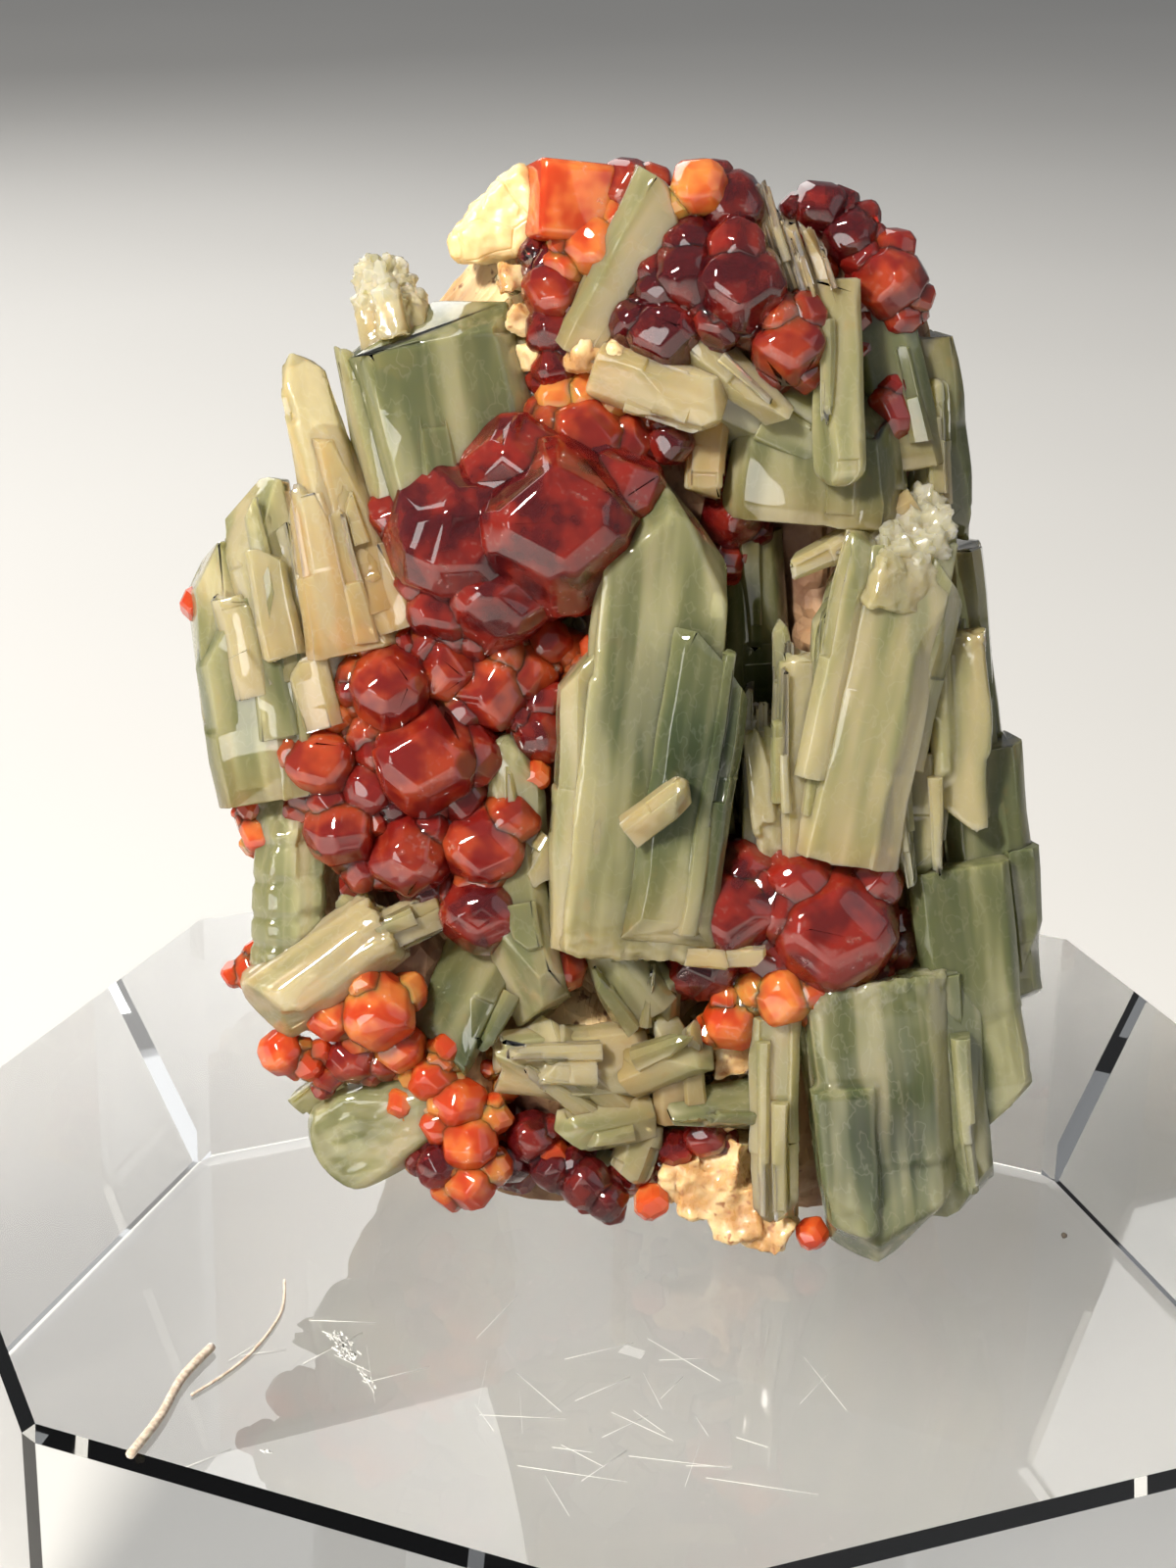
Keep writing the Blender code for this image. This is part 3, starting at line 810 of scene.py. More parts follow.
# Diopside, the centre blades. The longest crystal of the specimen stands free in front of
# the rest, pointed by two sloping faces, with thinner layers grown along both its sides.
make_diopside({
    "pointed_blade": dict(
        foot=(-0.7, 11.3, 2.4), head=(0.4, 27.3, 2.2), width=4.6, thickness=3.2,
        turn=4, green=0.55, cloud=0.4, chips=3, fineness=0.14,
        tips=((0.3, -54, 12), (0.9, 48, 8), (1.2, 6, 40)),
        zone=(1.1, -1.2, 8.2, 2.4, 1.9),
    ),
    "right_layer": dict(
        foot=(0.5, 11.9, 2.4), head=(1.8, 22.1, 2.0), width=3.1, thickness=2.4,
        green=0.6, cloud=0.3, slats=1, tips=((0.2, 50, 0),), zone=(0.3, -1.0, 6.0, 2.4, 1.5),
    ),
    "left_layer": dict(
        foot=(-2.1, 11.4, 2.0), head=(-2.0, 21.5, 1.7), width=2.5, thickness=2.3,
        green=0.3, cloud=0.55, slats=1, tips=((0.2, -52, 0),),
    ),
    "white_prism": dict(
        foot=(-0.7, 15.8, 3.5), head=(1.25, 17.6, 4.1), width=1.3, thickness=1.1,
        green=0.0, cloud=0.5, ridge=0.03, tips=((0.15, 30, 0),),
    ),
    "grey_tip_beside_blade": dict(
        foot=(-3.2, 14.4, 0.9), head=(-4.1, 13.1, 1.4), width=1.3, thickness=1.2,
        green=0.1, cloud=0.6, tips=((0.1, 30, 0),),
    ),
})

# Diopside, the bundle at the right. A thick blade with a sparkling broken head stands
# among thin ridged rods and needles. Some hang free below it, and two blades fill the
# recess on its left, coloured dark green as painted shade of the recess.
make_diopside({
    "thick_blade": dict(
        foot=(6.1, 14.3, 1.2), head=(8.0, 25.9, 0.8), width=4.3, thickness=3.6,
        green=0.3, cloud=0.5, slats=1, ragged=0.9, taper=0.05, chips=6, strip=0.7, ridge=0.09,
        tips=((0.2, -30, 20),),
    ),
    "thick_blade_head": dict(
        foot=(7.4, 22.6, 1.1), head=(8.3, 26.6, 0.8), width=3.2, thickness=3.4,
        green=0.1, cloud=0.4, sugar=3.6, chips=8, tips=((0.3, -26, 16), (0.2, 20, 30)),
        stain=0.0,
    ),
    "blade_wing": dict(
        foot=(7.6, 17.5, 0.9), head=(9.2, 24.6, 0.4), width=2.6, thickness=2.8,
        green=0.4, cloud=0.6, slats=1, tips=((0.4, 40, 10),),
    ),
    "left_rod": dict(
        foot=(4.2, 14.2, 1.1), head=(3.4, 19.3, 0.9), width=1.3, thickness=1.6,
        green=0.2, cloud=0.6, slats=2, ridge=0.15, ragged=0.8, sugar=1.0,
    ),
    "middle_rod": dict(
        foot=(4.9, 14.3, 1.4), head=(4.6, 21.8, 1.1), width=1.5, thickness=1.6,
        green=0.25, cloud=0.6, slats=2, ridge=0.15, ragged=0.8,
    ),
    "front_rod": dict(
        foot=(5.8, 14.6, 1.6), head=(6.1, 23.4, 1.2), width=2.0, thickness=1.8,
        green=0.35, cloud=0.55, slats=2, ridge=0.15, ragged=0.6,
    ),
    "finger_rod": dict(
        foot=(4.7, 18.4, 0.8), head=(3.95, 22.1, 0.9), width=0.8, thickness=0.8,
        green=0.1, cloud=0.7, blunt=0.4, stain=0.5, ridge=0.05,
    ),
    "hanging_point": dict(
        foot=(8.0, 17.3, 1.2), head=(8.7, 13.2, 1.2), width=1.3, thickness=1.3,
        green=0.35, cloud=0.3, slats=1, blunt=0.5, taper=0.3,
    ),
    "second_hanging_point": dict(
        foot=(9.0, 17.6, 0.6), head=(9.3, 13.0, 0.8), width=1.3, thickness=1.2,
        green=0.4, cloud=0.3, slats=1, tips=((0.2, -45, 0),),
    ),
    "glassy_rod": dict(
        foot=(10.0, 21.6, 0.2), head=(10.6, 15.0, 0.6), width=2.0, thickness=1.8,
        green=0.3, cloud=0.3, slats=1, ragged=0.7, tips=((0.3, 40, 0),), fineness=0.12,
    ),
    # Painted shade: the two recess crystals get the darkest greens of the bundle.
    "recess_blade": dict(
        foot=(3.1, 24.3, -1.6), head=(3.8, 17.4, -2.1), width=2.3, thickness=2.0,
        green=1.1, cloud=0.2, slats=1,
    ),
    "recess_rod": dict(
        foot=(2.6, 20.8, -2.8), head=(3.9, 12.7, -2.4), width=1.6, thickness=1.6,
        green=1.3, cloud=0.1, slats=1,
    ),
})

# The needles. Thin glassy diopside rods stand in bundles on both sides of the thick blade
# and in the recess, nearly parallel, each broken off at its own height.
NEEDLE_BUNDLES = {
    "thick_blade_needles": (
        (4.7, 14.2, 1.0), (4.4, 21.6, 0.7), 1.5, 0.6, 16, (0.35, 0.65), (0.45, 1.0), 0.15
    ),
    "recess_needles": (
        (3.3, 14.5, -0.4), (3.2, 19.5, -0.6), 0.8, 0.5, 8, (0.3, 0.55), (0.5, 1.0), 0.5
    ),
    "right_needles": (
        (8.9, 14.6, 0.4), (9.7, 22.6, 0.1), 0.9, 0.5, 9, (0.35, 0.6), (0.4, 1.0), 0.1
    ),
}


def make_needles(name, foot, head, wide, deep, count, widths, lengths, green):
    """Thin rods spread over a width and a depth, nearly parallel."""
    growth = bmesh.new()
    growth.verts.layers.float_vector.new("grain")
    growth.verts.layers.float_vector.new("growth")
    foot, head = on_front(*foot), on_front(*head)
    across = Vector((0, 1, 0)).cross(head - foot).normalized()
    for _ in range(count):
        aside = across * crystal_rng.uniform(-wide, wide) * MM
        aside += Vector((0, crystal_rng.uniform(-deep, deep) * MM, 0))
        share, width = crystal_rng.uniform(*lengths), crystal_rng.uniform(*widths)
        end = foot + (head - foot) * share + aside * crystal_rng.uniform(0.8, 1.2)
        grow_diopside(
            growth, crystal_rng, foot + aside, end, width, width * 0.9, chips=2,
            green=green + crystal_rng.uniform(-0.3, 0.3), cloud=0.5, stain=0.4, taper=0.15,
            tips=((0.0, crystal_rng.uniform(-50, 50), crystal_rng.uniform(0, 40)),),
        )
    finish_piece(growth, name, DIOPSIDE, DIOPSIDE_SMOOTHING)


for name, bundle in NEEDLE_BUNDLES.items():
    make_needles(name, *bundle)

# Diopside, the crown. Short blades lie across the top at all angles, cream where they are
# silky and grey green where they are clear, with splinters of cream fibre behind them.
make_diopside({
    "finger": dict(
        foot=(5.4, 32.8, 0.6), head=(5.8, 26.7, 2.0), width=1.7, thickness=1.4,
        green=0.4, cloud=0.45, blunt=0.6, ridge=0.05, taper=0.0, slats=1,
    ),
    "nose": dict(
        foot=(-2.0, 30.0, 0.5), head=(2.2, 28.9, 1.8), width=2.0, thickness=1.7,
        green=0.0, cloud=0.8, slats=1, stain=0.5, tips=((0.2, -28, 16),),
    ),
    "second_nose": dict(
        foot=(1.0, 31.2, 0.9), head=(4.4, 28.5, 1.4), width=1.7, thickness=1.6,
        green=0.05, cloud=0.8, slats=1, stain=0.4, tips=((0.2, -35, 10),),
    ),
    "grey_slab": dict(
        foot=(1.7, 29.2, -0.6), head=(8.4, 26.0, -0.4), width=3.6, thickness=2.6,
        green=0.85, cloud=0.3, slats=1, tips=((0.3, -30, 0),), turn=0,
    ),
    "wide_grey_slab": dict(
        foot=(5.1, 24.9, -0.1), head=(5.3, 30.0, -0.5), width=6.0, thickness=2.6,
        green=0.75, cloud=0.3, slats=1, tips=((0.2, 20, 10),),
    ),
    "golden_ledge": dict(
        foot=(8.3, 25.6, 0.0), head=(4.2, 23.5, 0.8), width=1.2, thickness=1.6,
        green=0.0, cloud=0.9, stain=0.6, slats=1, taper=0.4, ragged=0.4,
    ),
    # Painted shade: this blade at the crown's right edge is coloured dark green for the shade there.
    "dark_edge_blade": dict(
        foot=(8.4, 26.6, -1.0), head=(6.9, 32.3, -1.2), width=2.4, thickness=2.2,
        green=1.1, cloud=0.15, slats=1, tips=((0.4, -40, 0),),
    ),
    "bright_strip": dict(
        foot=(9.1, 25.4, -1.0), head=(8.8, 29.5, -1.2), width=1.3, thickness=1.6,
        green=0.15, cloud=0.3, slats=1, blunt=0.4,
    ),
    "leaning_blade": dict(
        foot=(-3.0, 30.4, 0.6), head=(0.1, 35.7, 0.4), width=1.4, thickness=1.1,
        green=0.3, cloud=0.5, stain=0.5, slats=1, taper=-1.0, tips=((0.1, 20, 0),),
    ),
    "golden_chip": dict(
        foot=(1.6, 28.2, -0.2), head=(1.5, 25.8, 0.5), width=1.4, thickness=1.2,
        green=0.0, cloud=0.6, stain=0.8, tips=((0.1, 15, 0),),
    ),
})

# The cream splinters. Split diopside turned to silky cream fibre, like broken wood, stands
# in thin blades behind the crown.
SPLINTERS = (
    ((4.0, 32.0, 0.9), (2.7, 35.9, 0.3), 0.75),
    ((3.6, 31.8, 0.6), (2.1, 35.5, 0.0), 0.6),
    ((4.5, 32.2, 0.9), (3.3, 35.2, 0.3), 0.6),
    ((5.0, 31.6, 1.1), (3.8, 34.9, 0.6), 0.7),
    ((5.5, 31.8, 1.0), (4.4, 34.8, 0.5), 0.75),
    ((5.2, 31.0, 0.6), (4.9, 34.3, 0.1), 0.55),
    ((3.0, 33.4, 0.2), (2.0, 36.0, -0.4), 0.5),
)


def make_splinters():
    """Thin blades of cream fibre, standing close together and broken at different heights."""
    growth = bmesh.new()
    growth.verts.layers.float_vector.new("grain")
    growth.verts.layers.float_vector.new("growth")
    for foot, head, width in SPLINTERS:
        grow_diopside(
            growth, crystal_rng, on_front(*foot), on_front(*head), width, width * 1.3,
            slats=2, green=-0.55, cloud=0.9, stain=0.4, ridge=0.12, ragged=0.5, taper=0.3,
        )
    finish_piece(growth, "cream_splinters", DIOPSIDE, DIOPSIDE_SMOOTHING)


make_splinters()

# Diopside, the lower middle. Short blocky crystals spread like a star from a brown, iron
# stained heart, with a bluish rod and a ridged stick standing at their right.
make_diopside({
    "upper_block": dict(
        foot=(0.0, 8.9, 1.0), head=(-2.2, 12.1, 2.0), width=2.7, thickness=2.3,
        green=0.7, cloud=0.2, slats=1, tips=((0.2, 30, 12), (0.7, -30, 30)),
    ),
    "upper_block_right": dict(
        foot=(0.3, 8.6, 1.0), head=(0.5, 11.6, 1.7), width=1.8, thickness=1.8,
        green=0.6, cloud=0.25, slats=1, stain=0.5, tips=((0.2, 30, 30),),
    ),
    "left_arm": dict(
        foot=(0.1, 6.8, 0.6), head=(-5.3, 6.8, 1.5), width=2.5, thickness=2.2,
        green=0.15, cloud=0.5, slats=2, stain=0.5, ragged=0.5, ridge=0.14,
    ),
    "rising_arm": dict(
        foot=(-0.5, 5.0, 0.4), head=(-3.9, 8.0, 1.6), width=1.9, thickness=1.9,
        green=0.2, cloud=0.5, slats=1, stain=0.6, tips=((0.3, 20, 20),),
    ),
    "upright_arm": dict(
        foot=(1.3, 4.9, 0.5), head=(0.9, 9.2, 1.5), width=1.8, thickness=1.8,
        green=0.2, cloud=0.4, slats=1, stain=0.8, tips=((0.3, 25, 20),),
    ),
    "low_arm": dict(
        foot=(0.3, 4.9, 0.6), head=(-3.2, 4.4, 1.3), width=1.8, thickness=1.8,
        green=0.3, cloud=0.4, slats=1, stain=0.5, tips=((0.2, -20, 20),),
    ),
    "hanging_arm": dict(
        foot=(0.2, 4.6, 0.6), head=(-0.6, 2.6, 1.0), width=1.5, thickness=1.4,
        green=0.2, cloud=0.5, tips=((0.2, 20, 0),),
    ),
    "right_arm": dict(
        foot=(-0.6, 6.6, 1.0), head=(2.2, 8.1, 1.9), width=1.9, thickness=1.9,
        green=0.5, cloud=0.25, slats=1, stain=0.6, tips=((0.3, -25, 20),),
    ),
    "bluish_rod": dict(
        foot=(4.0, 5.5, 0.7), head=(0.9, 6.0, 1.8), width=1.8, thickness=1.8,
        green=0.7, cloud=0.55, slats=1, stain=0.0, tips=((0.2, 35, 10),),
    ),
    "ridged_stick": dict(
        foot=(4.4, 9.0, 1.5), head=(4.7, 0.4, 1.0), width=1.75, thickness=1.7,
        green=0.15, cloud=0.6, ridge=0.20, slats=2, ragged=0.5, stain=0.3, taper=0.02,
    ),
})

# Diopside, the lower right. A broad blade with a rounded end and a deep green heart hangs
# to the foot, with more blades behind it stepping back to the corner.
make_diopside({
    "broad_blade": dict(
        foot=(7.4, 10.2, 1.1), head=(8.7, 0.2, 1.5), width=5.4, thickness=3.0,
        turn=-4, green=0.8, cloud=0.6, slats=1, taper=0.10, blunt=1.6, stain=0.1, chips=6,
        zone=(-0.3, -1.2, 5.4, 2.0, 1.9), fineness=0.14,
    ),
    "middle_blade": dict(
        foot=(10.0, 10.4, 0.9), head=(11.1, 1.5, 1.1), width=2.6, thickness=2.6,
        green=0.7, cloud=0.5, slats=1, stain=0.2, tips=((0.4, -40, 0),),
    ),
    "corner_blade": dict(
        foot=(10.3, 13.6, -0.3), head=(12.1, 3.2, 0.1), width=3.5, thickness=3.0,
        green=0.8, cloud=0.3, slats=1, stain=0.2, tips=((0.8, -38, 0), (0.3, 20, 0)),
    ),
    "flank_blade": dict(
        foot=(10.9, 17.2, -1.6), head=(12.5, 6.9, -1.2), width=3.0, thickness=3.2,
        green=0.9, cloud=0.25, slats=1, stain=0.3, tips=((0.4, -35, 0),),
    ),
    "middle_flank_blade": dict(
        foot=(9.5, 23.5, -2.6), head=(11.1, 14.2, -2.2), width=3.0, thickness=3.2,
        green=0.9, cloud=0.3, slats=1, stain=0.4, ragged=0.8,
    ),
    "upper_flank_blade": dict(
        foot=(8.5, 30.6, -2.2), head=(9.5, 23.6, -2.4), width=2.5, thickness=2.8,
        green=0.8, cloud=0.3, slats=1, stain=0.4, ragged=0.6,
    ),
})

# Diopside on the back and the sides. The picture doesn't show them. The same blades lie
# flat against the rock there, leaning their own ways, as they do on such a specimen.
BACK_DEPTH = 8.0
BACK_SLOPE = -0.05
BACK_BLADES = (
    (-6.0, 7.0, 12, 12.0, 3.4),
    (-2.2, 3.5, -4, 13.0, 2.8),
    (4.0, 8.5, -16, 13.0, 4.2),
    (7.5, 15.0, 6, 11.0, 3.0),
    (-7.5, 18.0, 24, 8.5, 3.0),
    (0.8, 20.0, 2, 11.0, 3.4),
    (7.0, 3.0, 20, 7.0, 3.0),
)
BACK_THICKNESS = 2.4


def on_back(across, height):
    """A point on the specimen's back, in metres."""
    return Vector((across, BACK_DEPTH + BACK_SLOPE * height, height)) * MM + Vector((0, 0, BLOCK_TOP))


def make_back_blades():
    """Blades against the back, each with slats on its outer face."""
    for number, (across, height, lean, length, width) in enumerate(BACK_BLADES, 1):
        growth = bmesh.new()
        growth.verts.layers.float_vector.new("grain")
        growth.verts.layers.float_vector.new("growth")
        foot = on_back(across, height)
        along = Matrix.Rotation(radians(lean), 3, "Y") @ Vector((0, BACK_SLOPE, 1))
        head = foot + along * length * MM
        grow_diopside(
            growth, crystal_rng, foot, head, width, BACK_THICKNESS,
            slats=1, turn=180 + crystal_rng.uniform(-8, 8), green=0.5, cloud=0.5, stain=0.5,
            tips=((0.4, crystal_rng.choice((-40, 40)), crystal_rng.uniform(0, 20)),),
        )
        finish_piece(growth, f"back_blade_{number}", DIOPSIDE, DIOPSIDE_SMOOTHING)


make_back_blades()

# The cream block. A lump of white to cream calcite, left of the orange garnet at the top,
# broken along its cleavage and veined with brown cracks.
CREAM_BLOCK = (
    (-7.0, 33.1), (-7.1, 33.7), (-5.8, 35.3), (-4.7, 36.1), (-4.3, 35.2), (-4.1, 33.4), (-6.0, 32.9)
)
CREAM_BLOCK_PROUD = -0.3
CREAM_BLOCK_DEPTH = 2.8


def cream_block_finish():
    """Cream calcite, waxy and cracked, with rust in its cracks."""
    material, tree, shader = new_material(
        "cream_calcite",
        {
            "Roughness": 0.42,
            "IOR": 1.6,
            "Subsurface Weight": 0.8,
            "Subsurface Radius": (1.0, 0.8, 0.5),
            "Subsurface Scale": 0.9 * MM,
        },
    )
    place = add_node(tree, "ShaderNodeTexCoord").outputs["Object"]
    wander = noise_of(tree, place, 500.0, 4.0)
    cells = add_node(
        tree, "ShaderNodeTexVoronoi", {"Vector": place, "Scale": 750.0}, feature="DISTANCE_TO_EDGE"
    ).outputs["Distance"]
    crack = combine(tree, "MULTIPLY", ramp(tree, cells, 0.0, 0.05, 1.0, 0.0), wander)
    colour = mix_colour(
        tree, ramp(tree, wander, 0.35, 0.7), (0.74, 0.55, 0.27), (0.60, 0.36, 0.13)
    )
    colour = mix_colour(tree, ramp(tree, crack, 0.3, 1.0), colour, (0.45, 0.24, 0.08))
    tree.links.new(colour, shader.inputs["Base Color"])
    raise_surface(tree, shader, combine(tree, "SUBTRACT", wander, crack), 0.8, 0.12 * MM)
    return material


def make_cream_block():
    """A many-sided lump broken off its matrix, with soft edges and crumbling faces."""
    growth = bmesh.new()
    corners = [growth.verts.new(on_front(*corner, CREAM_BLOCK_PROUD) / MM) for corner in CREAM_BLOCK]
    front = growth.faces.new(corners)
    grown = bmesh.ops.extrude_face_region(growth, geom=[front], use_keep_orig=True)["geom"]
    back = [part for part in grown if isinstance(part, bmesh.types.BMVert)]
    bmesh.ops.translate(growth, vec=(0, CREAM_BLOCK_DEPTH, -0.4), verts=back)
    bmesh.ops.recalc_face_normals(growth, faces=growth.faces)
    bmesh.ops.bevel(
        growth, geom=growth.edges[:], offset=0.3, affect="EDGES",
        segments=2, profile=0.5, material=-1,
    )
    skin = grown_together([growth], 0.1)
    skin.normal_update()
    for vert in skin.verts:
        crumbs = noise.noise(vert.co * 1.1) * 0.25 + noise.noise(vert.co * 3.5) * 0.08
        vert.co += vert.normal * crumbs
    bmesh.ops.scale(skin, vec=(MM, MM, MM), verts=skin.verts)
    finish_piece(skin, "cream_block", cream_block_finish(), 40)


make_cream_block()

# The golden matrix. Sugary cream to golden rock fills the gaps between the crystals' feet,
# under the ridged stick, under the thick blade and round the leaning blade.
MATRIX_LUMPS = (
    (3.0, 3.2, 0.3, 2.0),
    (2.2, 2.1, 0.5, 1.9),
    (3.3, 1.5, 0.6, 2.0),
    (1.5, 2.7, 0.3, 1.6),
    (3.1, 6.8, 0.4, 1.5),
    (2.8, 5.0, 0.1, 1.8),
    (4.6, 0.9, 0.8, 1.5),
    (6.2, 14.2, 0.9, 1.7),
    (7.3, 14.0, 0.8, 1.5),
    (5.1, 14.7, 1.0, 1.3),
    (-2.4, 30.5, 0.4, 1.6),
    (-1.3, 30.2, 0.6, 1.5),
    (0.9, 31.0, 0.7, 1.4),
    (-4.9, 32.5, -0.4, 1.0),
    (-4.5, 31.3, -0.3, 1.0),
    (-4.1, 30.1, -0.2, 1.0),
    (-9.6, 23.4, 0.1, 1.9),
    (-8.7, 22.4, 0.3, 1.6),
    (-10.5, 22.7, -0.1, 1.8),
    (-11.3, 20.0, 0.2, 1.4),
)


def matrix_finish():
    """Golden cream grains, glassy in places, with rust between them."""
    material, tree, shader = new_material(
        "golden_matrix",
        {
            "IOR": 1.6,
            "Subsurface Weight": 0.8,
            "Subsurface Radius": (1.0, 0.7, 0.35),
            "Subsurface Scale": 0.6 * MM,
        },
    )
    place = add_node(tree, "ShaderNodeTexCoord").outputs["Object"]
    cloud = noise_of(tree, place, 900.0, 2.0)
    grit = noise_of(tree, place, 3600.0, 1.0)
    colour = mix_colour(
        tree, ramp(tree, cloud, 0.35, 0.65), (0.66, 0.50, 0.27), (0.44, 0.24, 0.09)
    )
    colour = mix_colour(tree, ramp(tree, grit, 0.60, 0.75), colour, (0.30, 0.13, 0.05))
    tree.links.new(colour, shader.inputs["Base Color"])
    tree.links.new(ramp(tree, grit, 0.35, 0.6, 0.12, 0.6), shader.inputs["Roughness"])
    return material


def make_matrix():
    """Lumps grown into one another, crumbled all over into sugary grains."""
    growth = bmesh.new()
    for across, height, proud, size in MATRIX_LUMPS:
        place = Matrix.Translation(on_front(across, height, proud) / MM)
        for angle, axis in zip((across * 2, height * 3, size * 5), "XYZ"):
            place = place @ Matrix.Rotation(angle, 4, axis)
        bmesh.ops.create_cube(growth, size=size * 0.85, matrix=place)
    skin = grown_together([growth], 0.1)
    skin.normal_update()
    for vert in skin.verts:
        lumps = noise.noise(vert.co * 0.9) * 0.35 + noise.noise(vert.co * 2.2) * 0.12
        vert.co += vert.normal * (lumps + noise.noise(vert.co * 5.0) * 0.06)
    bmesh.ops.scale(skin, vec=(MM, MM, MM), verts=skin.verts)
    finish_piece(skin, "golden_matrix", matrix_finish(), 40)


make_matrix()

# The garnets. Hessonite grows as rounded crystals of twelve diamond faces whose edges are
# cut by narrower faces. The larger are wine red and glossy with fine growth steps, the
# smaller red to orange. Each is rooted in the rock or in its neighbours.
VIEW_LEAN = 20.0
BIG_GARNET = 2.4
SMALL_GARNET = 1.3
RHOMB_REACH = (0.92, 1.03)
EDGE_REACH = (0.98, 1.07)
CORNER_REACH = (1.06, 1.16)
SQUARE_REACH = (0.80, 0.90)
GARNET_SMOOTHING = 22
TWIN_SIZE = (0.45, 0.72)


def garnet_shape(rng, size, steps, square=None):
    """One garnet in millimetres: a block cut by its growing faces, no two equally far out.

    A square one keeps the faces of the block, and only its edges are cut.
    """
    crystal = bmesh.new()
    bmesh.ops.create_cube(crystal, size=size * (square or 1.3))
    signs = (-1, 1)
    corners = [Vector((a, 0, 0)) for a in signs]
    rhombs = [Vector((a, b, 0)) for a in signs for b in signs]
    edges = [Vector((2 * a, b, c)) for a in signs for b in signs for c in signs]
    kinds = ((rhombs, RHOMB_REACH), (edges, EDGE_REACH), (corners, CORNER_REACH))
    if square:
        kinds = ((rhombs, SQUARE_REACH),)
    for faces, (near, far) in kinds:
        for face in faces:
            for turned in (face, face.zxy, face.yzx):
                facing = turned.normalized()
                cut_off(crystal, facing * size / 2 * rng.uniform(near, far), facing)
    if size > SMALL_GARNET:
        bmesh.ops.remove_doubles(crystal, verts=crystal.verts, dist=size * 0.04)
        bmesh.ops.bevel(
            crystal, geom=crystal.edges[:], offset=size * 0.03, affect="EDGES",
            segments=2, profile=0.5, material=-1, clamp_overlap=True,
        )
    for _ in range(steps):
        wide = [face for face in crystal.faces if face.calc_area() > size * size * 0.04]
        grown = [face for face in wide if rng.random() < 0.6]
        bmesh.ops.inset_individual(
            crystal, faces=grown, thickness=size * rng.uniform(0.015, 0.05),
            depth=size * rng.choice((-0.004, 0.004, 0.006)), use_even_offset=True,
        )
    return crystal


def add_garnet(growth, rng, centre, size, tone=0.5, turn=None, steps=None, square=None):
    """A garnet set among the others, turned its own way or as it is seen."""
    steps = (2 if size >= BIG_GARNET else 0) if steps is None else steps
    crystal = garnet_shape(rng, size, steps, square)
    shading = crystal.verts.layers.float_vector.new("growth")
    start = Vector([rng.uniform(0, 9) for _ in range(3)])
    for vert in crystal.verts:
        vert[shading] = (tone, start.x, start.y)
    if turn:
        angles = [radians(angle) for angle in turn]
        facing = Matrix.Rotation(radians(-VIEW_LEAN), 4, "X") @ Matrix.Rotation(angles[0], 4, "Y")
        facing = facing @ Matrix.Rotation(angles[1], 4, "X") @ Matrix.Rotation(angles[2], 4, "Z")
    else:
        facing = Matrix.Rotation(rng.uniform(0, 2 * pi), 4, "Z")
        facing = facing @ Matrix.Rotation(rng.uniform(0, pi), 4, "X")
    bmesh.ops.recalc_face_normals(crystal, faces=crystal.faces)
    put_in(growth, crystal, Matrix.Translation(centre) @ facing @ Matrix.Scale(MM, 4))


def garnet_finish(name, deep, bright, clear, absorbed=None, density=0.0):
    """Clear glossy garnet: its colour comes from inside, with a little glow of its own. Each crystal has
    its own tone between deep and bright; brighter patches within it are painted internal glints, and small
    rougher frosted patches tinted pale mauve are a painted sheen.
    """
    material, tree, shader = new_material(
        name,
        {
            "IOR": 1.74,
            "Transmission Weight": clear,
            "Subsurface Weight": 1.0,
            "Subsurface Radius": (1.0, 0.5, 0.35),
            "Subsurface Scale": 0.8 * MM,
        },
    )
    place = add_node(tree, "ShaderNodeTexCoord").outputs["Object"]
    shading = add_node(tree, "ShaderNodeAttribute", attribute_name="growth").outputs["Vector"]
    look = add_node(tree, "ShaderNodeSeparateXYZ", {"Vector": shading}).outputs
    cloud = noise_of(tree, place, 800.0, 2.0)
    fine = noise_of(tree, place, 4200.0, 1.0)
    # Painted internal glints: the cloud noise lifts patches of each crystal towards the bright colour, on
    # top of the crystal's own tone.
    tone = combine(tree, "ADD", look["X"], ramp(tree, cloud, 0.35, 0.65, -0.35, 0.35))
    colour = mix_colour(tree, ramp(tree, tone, 0.0, 1.0), deep, bright)
    # Small patches are made rougher as frosting and tinted pale mauve as a painted sheen.
    frost_and_sheen = combine(tree, "MULTIPLY", ramp(tree, fine, 0.52, 0.78), ramp(tree, cloud, 0.5, 0.7))
    colour = mix_colour(tree, combine(tree, "MULTIPLY", frost_and_sheen, 0.5), colour, (0.66, 0.42, 0.36))
    tree.links.new(colour, shader.inputs["Base Color"])
    tree.links.new(ramp(tree, frost_and_sheen, 0.0, 1.0, 0.03, 0.4), shader.inputs["Roughness"])
    if absorbed:
        absorb(tree, (*absorbed, 1.0), density)
    return material


WINE_GARNET = garnet_finish(
    "wine_garnet", (0.17, 0.010, 0.014), (0.60, 0.05, 0.025), 0.72, (0.92, 0.26, 0.18), 340.0
)
RED_GARNET = garnet_finish(
    "red_garnet", (0.33, 0.020, 0.014), (0.78, 0.12, 0.03), 0.62
)
ORANGE_GARNET = garnet_finish(
    "orange_garnet", (0.64, 0.07, 0.012), (1.0, 0.32, 0.07), 0.45
)
garnet_rng = random.Random(5)


